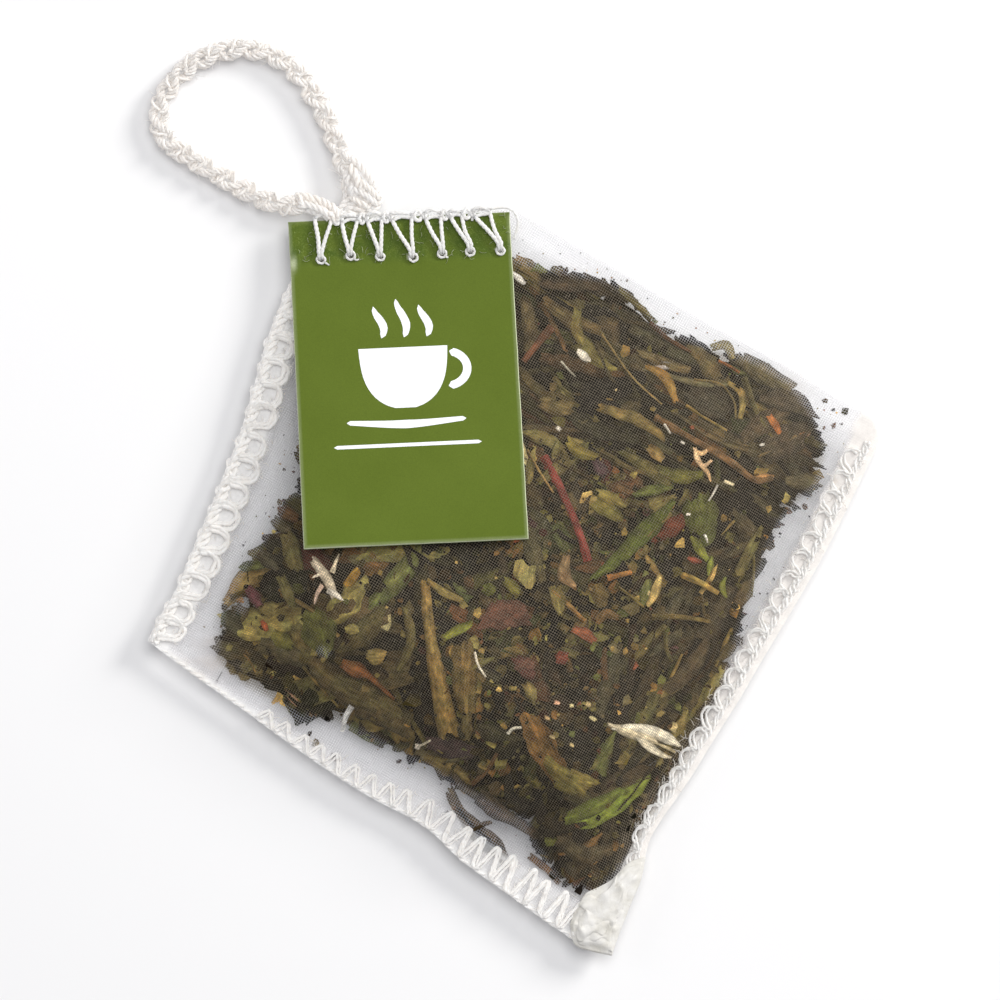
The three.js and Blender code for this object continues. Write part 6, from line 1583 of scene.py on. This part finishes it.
def put_tag():
    B = Build()
    e = 0.10
    a = np.concatenate([[0.0, e * 0.35, e], np.linspace(0.5, TAG_W - 0.5, 62), [TAG_W - e, TAG_W - e * 0.35, TAG_W]])
    b = np.concatenate([[0.0, e * 0.35, e], np.linspace(0.5, TAG_L - 0.5, 92), [TAG_L - e, TAG_L - e * 0.35, TAG_L]])
    A, Bb = np.meshgrid(a, b, indexing="ij")
    near = np.minimum(np.minimum(A, TAG_W - A), np.minimum(Bb, TAG_L - Bb))
    round_off = -0.10 * (1 - smooth(near / e)) ** 1.0
    wave = 0.035 * fractal(A / 7, Bb / 7, 41)
    # the card dips a little at each needle hole
    for (kx, ky) in KNOTS:
        dd = TAG_TOP_Y - ky
        wave = wave - 0.12 * np.exp(-((A - (kx - TAG_X0)) ** 2 + (Bb - dd) ** 2) / 0.9)
    top = tag_point(A, Bb, 0) + 0
    top[..., 2] += round_off + wave
    # a cut edge that isn't perfectly straight, and slightly rounded corners
    X = top[..., 0]
    X += np.where(A <= e, 0.03 * noise(Bb / 1.5, 0.2, 8), 0) + np.where(A >= TAG_W - e, 0.03 * noise(Bb / 1.5, 3.2, 8), 0)
    top[..., 1] += np.where(Bb >= TAG_L - e, 0.03 * noise(A / 1.5, 5.2, 8), 0)
    under = tag_point(A, Bb, -TAG_T)
    under[..., 2] += wave
    pale = 1 - smooth((near - 0.02) / (e * 1.1))
    pale = pale * np.where(Bb < 0.3, 0.35, 1.0)
    # a small pale spot at the left edge, 4.9 mm below the top
    pale_spot = np.exp(-((A - 0.3) ** 2 + ((Bb - 4.9) / 2.2) ** 2) / 0.12)
    pale = np.maximum(pale, 0.8 * pale_spot)
    # green channel: scuffs and painted shade from the stitch legs, in the top 5.6 mm
    stitch = smooth((5.6 - Bb) / 1.6)
    col = np.dstack([pale, stitch, np.zeros_like(A)])
    col2 = np.dstack([np.ones_like(A) * 0.0, np.zeros_like(A), np.zeros_like(A)])
    nu, nv = A.shape
    B.add(np.vstack([top.reshape(-1, 3), under.reshape(-1, 3)]), quads=shell_faces(nu, nv)[:, ::-1], col=np.vstack([col.reshape(-1, 3), col2.reshape(-1, 3)]),
          uv=np.vstack([np.dstack([A, Bb]).reshape(-1, 2)] * 2))
    o = B.object("tag_card_printed", MAT["card"], sharp=40)
    # needle holes
    C = Build()
    for (kx, ky) in KNOTS:
        z = float(tag_under(ky))
        tube(C, [[kx, ky, z - 1.5], [kx, ky, z + 0.2], [kx, ky, z + 2.0]], 0.42, 12, up=(1, 0, 0))
    cut = C.object("hole_cutter", MAT["card"])
    mod = o.modifiers.new("holes", "BOOLEAN")
    mod.object, mod.operation, mod.solver = cut, "DIFFERENCE", "EXACT"
    dep = bpy.context.evaluated_depsgraph_get()
    me = bpy.data.meshes.new_from_object(o.evaluated_get(dep))
    o.modifiers.clear()
    if len(me.polygons) > 5000:
        o.data = me
    bpy.data.objects.remove(cut)
    place(o, "card", "paper_tag")

    # generic print: a plain cup with steam over a saucer, and a bar
    I = Build()

    def flat_strip(left, right, name=None):
        left, right = np.array(left, float), np.array(right, float)
        n = len(left)
        k = 4
        t = np.linspace(0, 1, k + 1)[None, :, None]
        g = left[:, None] * (1 - t) + right[:, None] * t
        lift = 0.022
        topp = tag_point(g[..., 0], g[..., 1], lift)
        low = tag_point(g[..., 0], g[..., 1], -0.05)
        w = 0.035 * fractal(g[..., 0] / 7, g[..., 1] / 7, 41)
        topp[..., 2] += w
        low[..., 2] += w
        q = shell_faces(n, k + 1)
        va = np.vstack([topp.reshape(-1, 3), low.reshape(-1, 3)])
        nrm = np.cross(topp[1, 0] - topp[0, 0], topp[0, 1] - topp[0, 0])
        I.add(va, quads=q if nrm[2] > 0 else q[:, ::-1], uv=va[:, :2])

    def stroke(pts, w):
        L = Line(pts, 10)
        s = np.linspace(0, L.length, max(6, int(L.length / 0.35)))
        c, t = L.at(s), L.along(s)
        n = np.stack([-t[:, 1], t[:, 0]], 1)
        ww = (np.broadcast_to(w, s.shape) if np.ndim(w) == 0 else np.interp(s / L.length, np.linspace(0, 1, len(w)), w))[:, None] / 2
        end = np.sqrt(np.clip(1 - (1 - np.minimum(np.minimum(s, L.length - s) / (ww[:, 0] + 1e-6), 1)) ** 2, 0.0, 1))[:, None]
        flat_strip(c + n * ww * np.maximum(end, 0.12), c - n * ww * np.maximum(end, 0.12))
    cx, y0 = 12.4, 15.4
    h = np.linspace(0, 1, 26)
    half = 5.1 * np.sqrt(np.clip(1 - (h * 0.98) ** 3.2, 0.02, 1)) * (1 - 0.08 * h)
    flat_strip(np.stack([cx - half, y0 + 7.2 * h], 1), np.stack([cx + half, y0 + 7.2 * h], 1))
    th = np.linspace(-1.35, 1.45, 9)
    stroke([[cx + 4.75 + 2.5 * math.cos(t), y0 + 2.75 + 2.1 * math.sin(t)] for t in th], 0.95)
    stroke([[cx - 6.8, y0 + 8.75], [cx, y0 + 9.15], [cx + 6.8, y0 + 8.75]], [0.5, 1.0, 0.5])
    for k, dx in enumerate((-2.6, 0.0, 2.6)):
        hgt = 4.6 if k == 1 else 3.8
        stroke([[cx + dx + 0.55 * math.sin(2.2 * t * math.pi / 1.6 + 0.4), y0 - 1.2 - hgt * t] for t in np.linspace(0, 1, 8)], [0.5, 0.95, 0.85, 0.35])
    stroke([[4.0, 27.0], [10, 27.0], [20.8, 27.0]], 0.42)
    ink = I.object("tag_print", MAT["ink"], sharp=30)
    place(ink, "ink")


def put_tag_stitch():
    B = Build()
    r = np.random.default_rng(77)
    rad = 0.26

    def top(y):
        return tag_under(min(y, TAG_TOP_Y)) + TAG_T
    edge = TAG_TOP_Y + 0.25
    for i, ((kx, ky), (l, rr)) in enumerate(zip(KNOTS, LEGS)):
        zk, ze = float(top(ky)), float(top(edge))
        for side, ex in ((-1, l), (1, rr)):
            bow = r.normal(0, 0.12)
            pts = [[ex, edge + 0.15, ze + 0.15], [ex + 0.10 * (kx - ex) + bow * 0.3, edge - 0.7, float(top(edge - 0.7)) + rad + 0.12],
                   [ex + 0.5 * (kx - ex) + bow, (edge + ky) / 2, float(top((edge + ky) / 2)) + rad + 0.28],
                   [kx + side * 0.17, ky + 0.75, float(top(ky + 0.7)) + rad + 0.22], [kx + side * 0.10, ky + 0.15, zk + rad + 0.05], [kx, ky - 0.05, zk - 0.35]]
            tube(B, spaced(pts, 0.14, 8), rad * (1.05 if side < 0 else 0.95), 9, 2, 1.1, 0.26)
        # the little loop that locks each stitch
        ang = r.uniform(-0.6, 0.4) + (0.5 if i % 2 else 0)
        th = np.linspace(0, 2 * np.pi, 26, endpoint=False)
        cxk, cyk = kx + 0.10 + r.normal(0, 0.05), ky - 0.10
        ex_, ey_ = 0.46 + 0.05 * r.random(), 0.40 + 0.06 * r.random()
        lx, ly = ex_ * np.cos(th), ey_ * np.sin(th)
        x, y = cxk + lx * math.cos(ang) - ly * math.sin(ang), cyk + lx * math.sin(ang) + ly * math.cos(ang)
        z = np.array([float(top(v)) for v in y]) + 0.24 + 0.10 * np.sin(th + ang)
        tube(B, np.column_stack([x, y, z]), 0.165, 8, 2, 0.9, 0.3, closed=True)
        tail = [[cxk + 0.35 * math.cos(ang), cyk - 0.30, zk + 0.28], [cxk + 0.62, cyk - 0.42 + r.normal(0, 0.1), zk + 0.22], [cxk + 0.80 + r.normal(0, 0.1), cyk - 0.30 + r.normal(0, 0.2), zk + 0.13]]
        if i in (0, 1, 4):
            tube(B, spaced(tail, 0.12, 8), 0.14, 7, 2, 0.9, 0.3, taper=0.2)
    # interlocked chain along the top edge
    xs = [l for l, _ in LEGS] + [rr for _, rr in LEGS]
    order = sorted(xs)
    a, b = [], []
    for i in range(len(LEGS)):
        l, rr = LEGS[i]
        nxt = LEGS[i + 1][0] if i + 1 < len(LEGS) else rr + 1.4
        a += [[l, 0.25], [(l + rr) / 2, 0.62 - 0.2 * (i % 2)], [rr, 0.15], [(rr + nxt) / 2, -0.62]]
        b += [[l, -0.35 if i else 0.1], [(l + rr) / 2, -0.22 + 0.15 * (i % 2)], [rr, -0.15], [(rr + nxt) / 2, 0.55]]
    for k, path in enumerate((a, b)):
        if k == 0:
            path = path[:-1]
        else:
            path = path[2:-1]
        pts = [[x, TAG_TOP_Y + 0.05 + dy, float(top(TAG_TOP_Y + dy)) + 0.22 + 0.16 * ((i + k) % 2)] for i, (x, dy) in enumerate(path)]
        tube(B, spaced(pts, 0.14, 8), 0.25 if k == 0 else 0.22, 9, 2, 1.05, 0.26)
    # run of thread behind the cloth
    for k in (0, 1):
        pts = [[kx + r.normal(0, 0.08), ky + 0.25 * (-1) ** (i + k), SEAM_Z - PANEL_HALF_GAP - SHEET / 2 - 0.3 - 0.1 * k] for i, (kx, ky) in enumerate(KNOTS)]
        tube(B, spaced(pts, 0.16, 8), 0.2, 8, 2, 1.0, 0.26)
    # slack thread that rounds the card's upper right corner
    ear = EAR
    pts = [[x, y, float(top(min(y, TAG_TOP_Y))) + 0.22 + dz] for x, y, dz in ear]
    tube(B, spaced(pts, 0.14, 8), 0.17, 8, 2, 0.9, 0.3)
    # fibres and lint caught between the stitches
    for _ in range(90):
        x, y = r.uniform(TAG_X0 + 0.6, TAG_X0 + TAG_W - 0.5), TAG_TOP_Y - r.uniform(0.2, 5.2)
        ang = r.uniform(0, 6.28)
        ln = r.uniform(0.3, 1.1)
        z = float(top(y)) + 0.06
        p0 = np.array([x, y, z])
        p1 = p0 + [ln * 0.5 * math.cos(ang), ln * 0.5 * math.sin(ang), r.uniform(0.03, 0.2)]
        p2 = p1 + [ln * 0.5 * math.cos(ang + r.normal(0, 0.7)), ln * 0.5 * math.sin(ang + r.normal(0, 0.7)), -0.05]
        k = r.uniform(0.35, 0.9)
        tube(B, spaced([p0, p1, p2], 0.18, 5), 0.026, 4, col=(0.75 * k, 0.85 * k, 0.42 * k))
    place(B.object("tag_stitches", MAT["tag_thread"]), "tag_thread", "tag_stitch_thread")


# ---------------------------------------------------------------- plaited hanging loop
def bundle(B, p, rad, r, count=4, fine=0.21, turn=2.3, col=(1, 1, 1), floor_z=None):
    """A soft ply: fine strands that wind loosely round one another along p."""
    t = np.gradient(p, axis=0)
    t /= np.maximum(np.linalg.norm(t, axis=1, keepdims=True), 1e-9)
    up = np.broadcast_to(np.array([0, 0, 1.0]), t.shape)
    n1 = np.cross(up, t)
    n1 /= np.maximum(np.linalg.norm(n1, axis=1, keepdims=True), 1e-6)
    n2 = np.cross(t, n1)
    s = np.concatenate([[0], np.cumsum(np.linalg.norm(np.diff(p, axis=0), axis=1))])
    for k in range(count):
        q = r.integers(1, 10 ** 6)
        a = 2 * np.pi * (s / turn + k / count) + 0.9 * noise(s / 1.7, 0.5, q)
        m = np.asarray(rad) * (1 + 0.3 * noise(s / 0.9, 2.5, q))
        w = p + n1 * (m * np.cos(a))[:, None] + n2 * (m * np.sin(a))[:, None]
        f = fine * (1 + 0.15 * noise(s / 0.6, 5.5, q))
        if floor_z is not None:
            w[:, 2] = np.maximum(w[:, 2], floor_z + f)
        tube(B, w, f, 7, 2, 0.9, 0.25, col=np.asarray(col) * r.uniform(0.97, 1.0))


def put_loop():
    r = np.random.default_rng(41)
    path = spaced(CORD, 0.12, 24)
    L = Line(path, curved=False)
    s = np.arange(0, L.length, 0.15)
    c = L.at(s)
    t = L.along(s, 0.4)
    up = np.array([0, 0, 1.0])
    side = np.cross(np.broadcast_to(up, t.shape), t)
    side /= np.linalg.norm(side, axis=1, keepdims=True)
    nrm = np.cross(t, side)
    B = Build()
    beat = 2.9  # one lump of the chain
    tw = 0.5 * noise(s / 7.0, 0.5, 61)
    for k in range(2):
        ph = np.pi * s / beat + np.pi * k + 0.35 * noise(s / 3.1, 4.5, 19)
        q = np.sin(ph)
        a = 0.72 * np.sign(q) * np.abs(q) ** 0.75 * (1 + 0.12 * noise(s / 2.3, k + 0.5, 23))
        b = 0.40 * np.cos(ph)
        x, z = a * np.cos(tw) - b * np.sin(tw), a * np.sin(tw) * 0.5 + b * np.cos(tw)
        p = c + side * x[:, None] + nrm * z[:, None]
        bundle(B, p, 0.30 + 0.08 * np.abs(q), r, 4, 0.20, 2.1, (1.0, 0.99, 0.98), 0.02)
    # the looper thread: small loops that stand out at each side of the chain
    pts = []
    n = int(L.length / beat * 2)
    for i in range(n):
        s0 = (i + 0.3) * beat / 2
        sg = 1 if i % 2 else -1
        for ds, lat, h in ((-0.25, -0.2, 0.45), (0.05, 0.55, 0.62), (0.45, 1.05, 0.30), (0.85, 1.10, -0.15), (1.15, 0.70, 0.25), (0.95, 0.1, 0.66)):
            ss = np.clip(s0 + ds, 0, L.length)
            cc, tt = L.at(np.array([ss]))[0], L.along(np.array([ss]), 0.4)[0]
            sd = np.cross(up, tt)
            sd /= np.linalg.norm(sd)
            nn = np.cross(tt, sd)
            pts.append(cc + sd * sg * (lat + r.normal(0, 0.08)) + nn * (h + r.normal(0, 0.06)))
    pts = spaced(pts, 0.14, 6)
    pts[:, 2] = np.maximum(pts[:, 2], 0.22)
    tube(B, pts, 0.19, 8, 2, 0.9, 0.25, col=(1.0, 0.99, 0.975))
    # stray fibres
    for _ in range(260):
        k = r.integers(5, len(s) - 5)
        ang = r.uniform(0, 6.28)
        p0 = c[k] + (side[k] * math.cos(ang) + nrm[k] * abs(math.sin(ang))) * 0.95
        d = side[k] * r.normal(0, 0.5) + t[k] * r.normal(0, 0.8) + nrm[k] * r.uniform(0, 0.3)
        p1, p2 = p0 + d * 0.5, p0 + d + np.array([r.normal(0, 0.15), r.normal(0, 0.15), 0])
        p = spaced([p0, p1, p2], 0.15, 5)
        p[:, 2] = np.maximum(p[:, 2], 0.05)
        tube(B, p, 0.028, 4)
    o = place(B.object("loop_plait", MAT["loop"]), "loop", "hanging_loop")

    # the end of the plait, opened out and folded down where it is caught under the stitches
    E = Build()
    for k, (lane, rad) in enumerate(END_LANES):
        pts = spaced(np.array(lane, float), 0.15, 10)
        bundle(E, pts, rad * 0.62, r, 3, rad * 0.52, 2.2, (1.0, 0.985, 0.965) if k % 2 else (1, 1, 1))
    e = place(E.object("loop_end_fold", MAT["loop"]), "loop")
    return o


put_loop()
put_pouch()
seam_ladder("left", -1, 2.9, "stitching_left", "seam_thread_left", 2.2, 6.5, (2.9, 3.3, 3.4, 3.3, 3.1, 2.9), seed=3, r0=0.30)
seam_zigzag("bottom", 1, 2.35, "stitching_bottom", "seam_thread_bottom", 15.5, 5.0, (1.4, 1.4, 1.8, 2.2, 2.6, 3.5, 4.0, 4.1, 4.1), seed=4)
# the right seam's threads are coloured darker (tint=0.9): painted shade that offsets the key light falling on that side
seam_ladder("right", 1, 2.6, "stitching_right", "seam_thread_right", 9.0, 2.6, (1.2, 1.2, 1.4, 1.9, 2.2, 2.4, 2.4, 2.4), seed=5, r0=0.17, edge=0.6, tint=0.9, sink=0.24)
put_corner("corner_lower_fold", CORNER_LOW[0], CORNER_LOW[1], CORNER_LOW[2], CORNER_LOW[3], 0.5, 61)
put_tag()
put_tag_stitch()
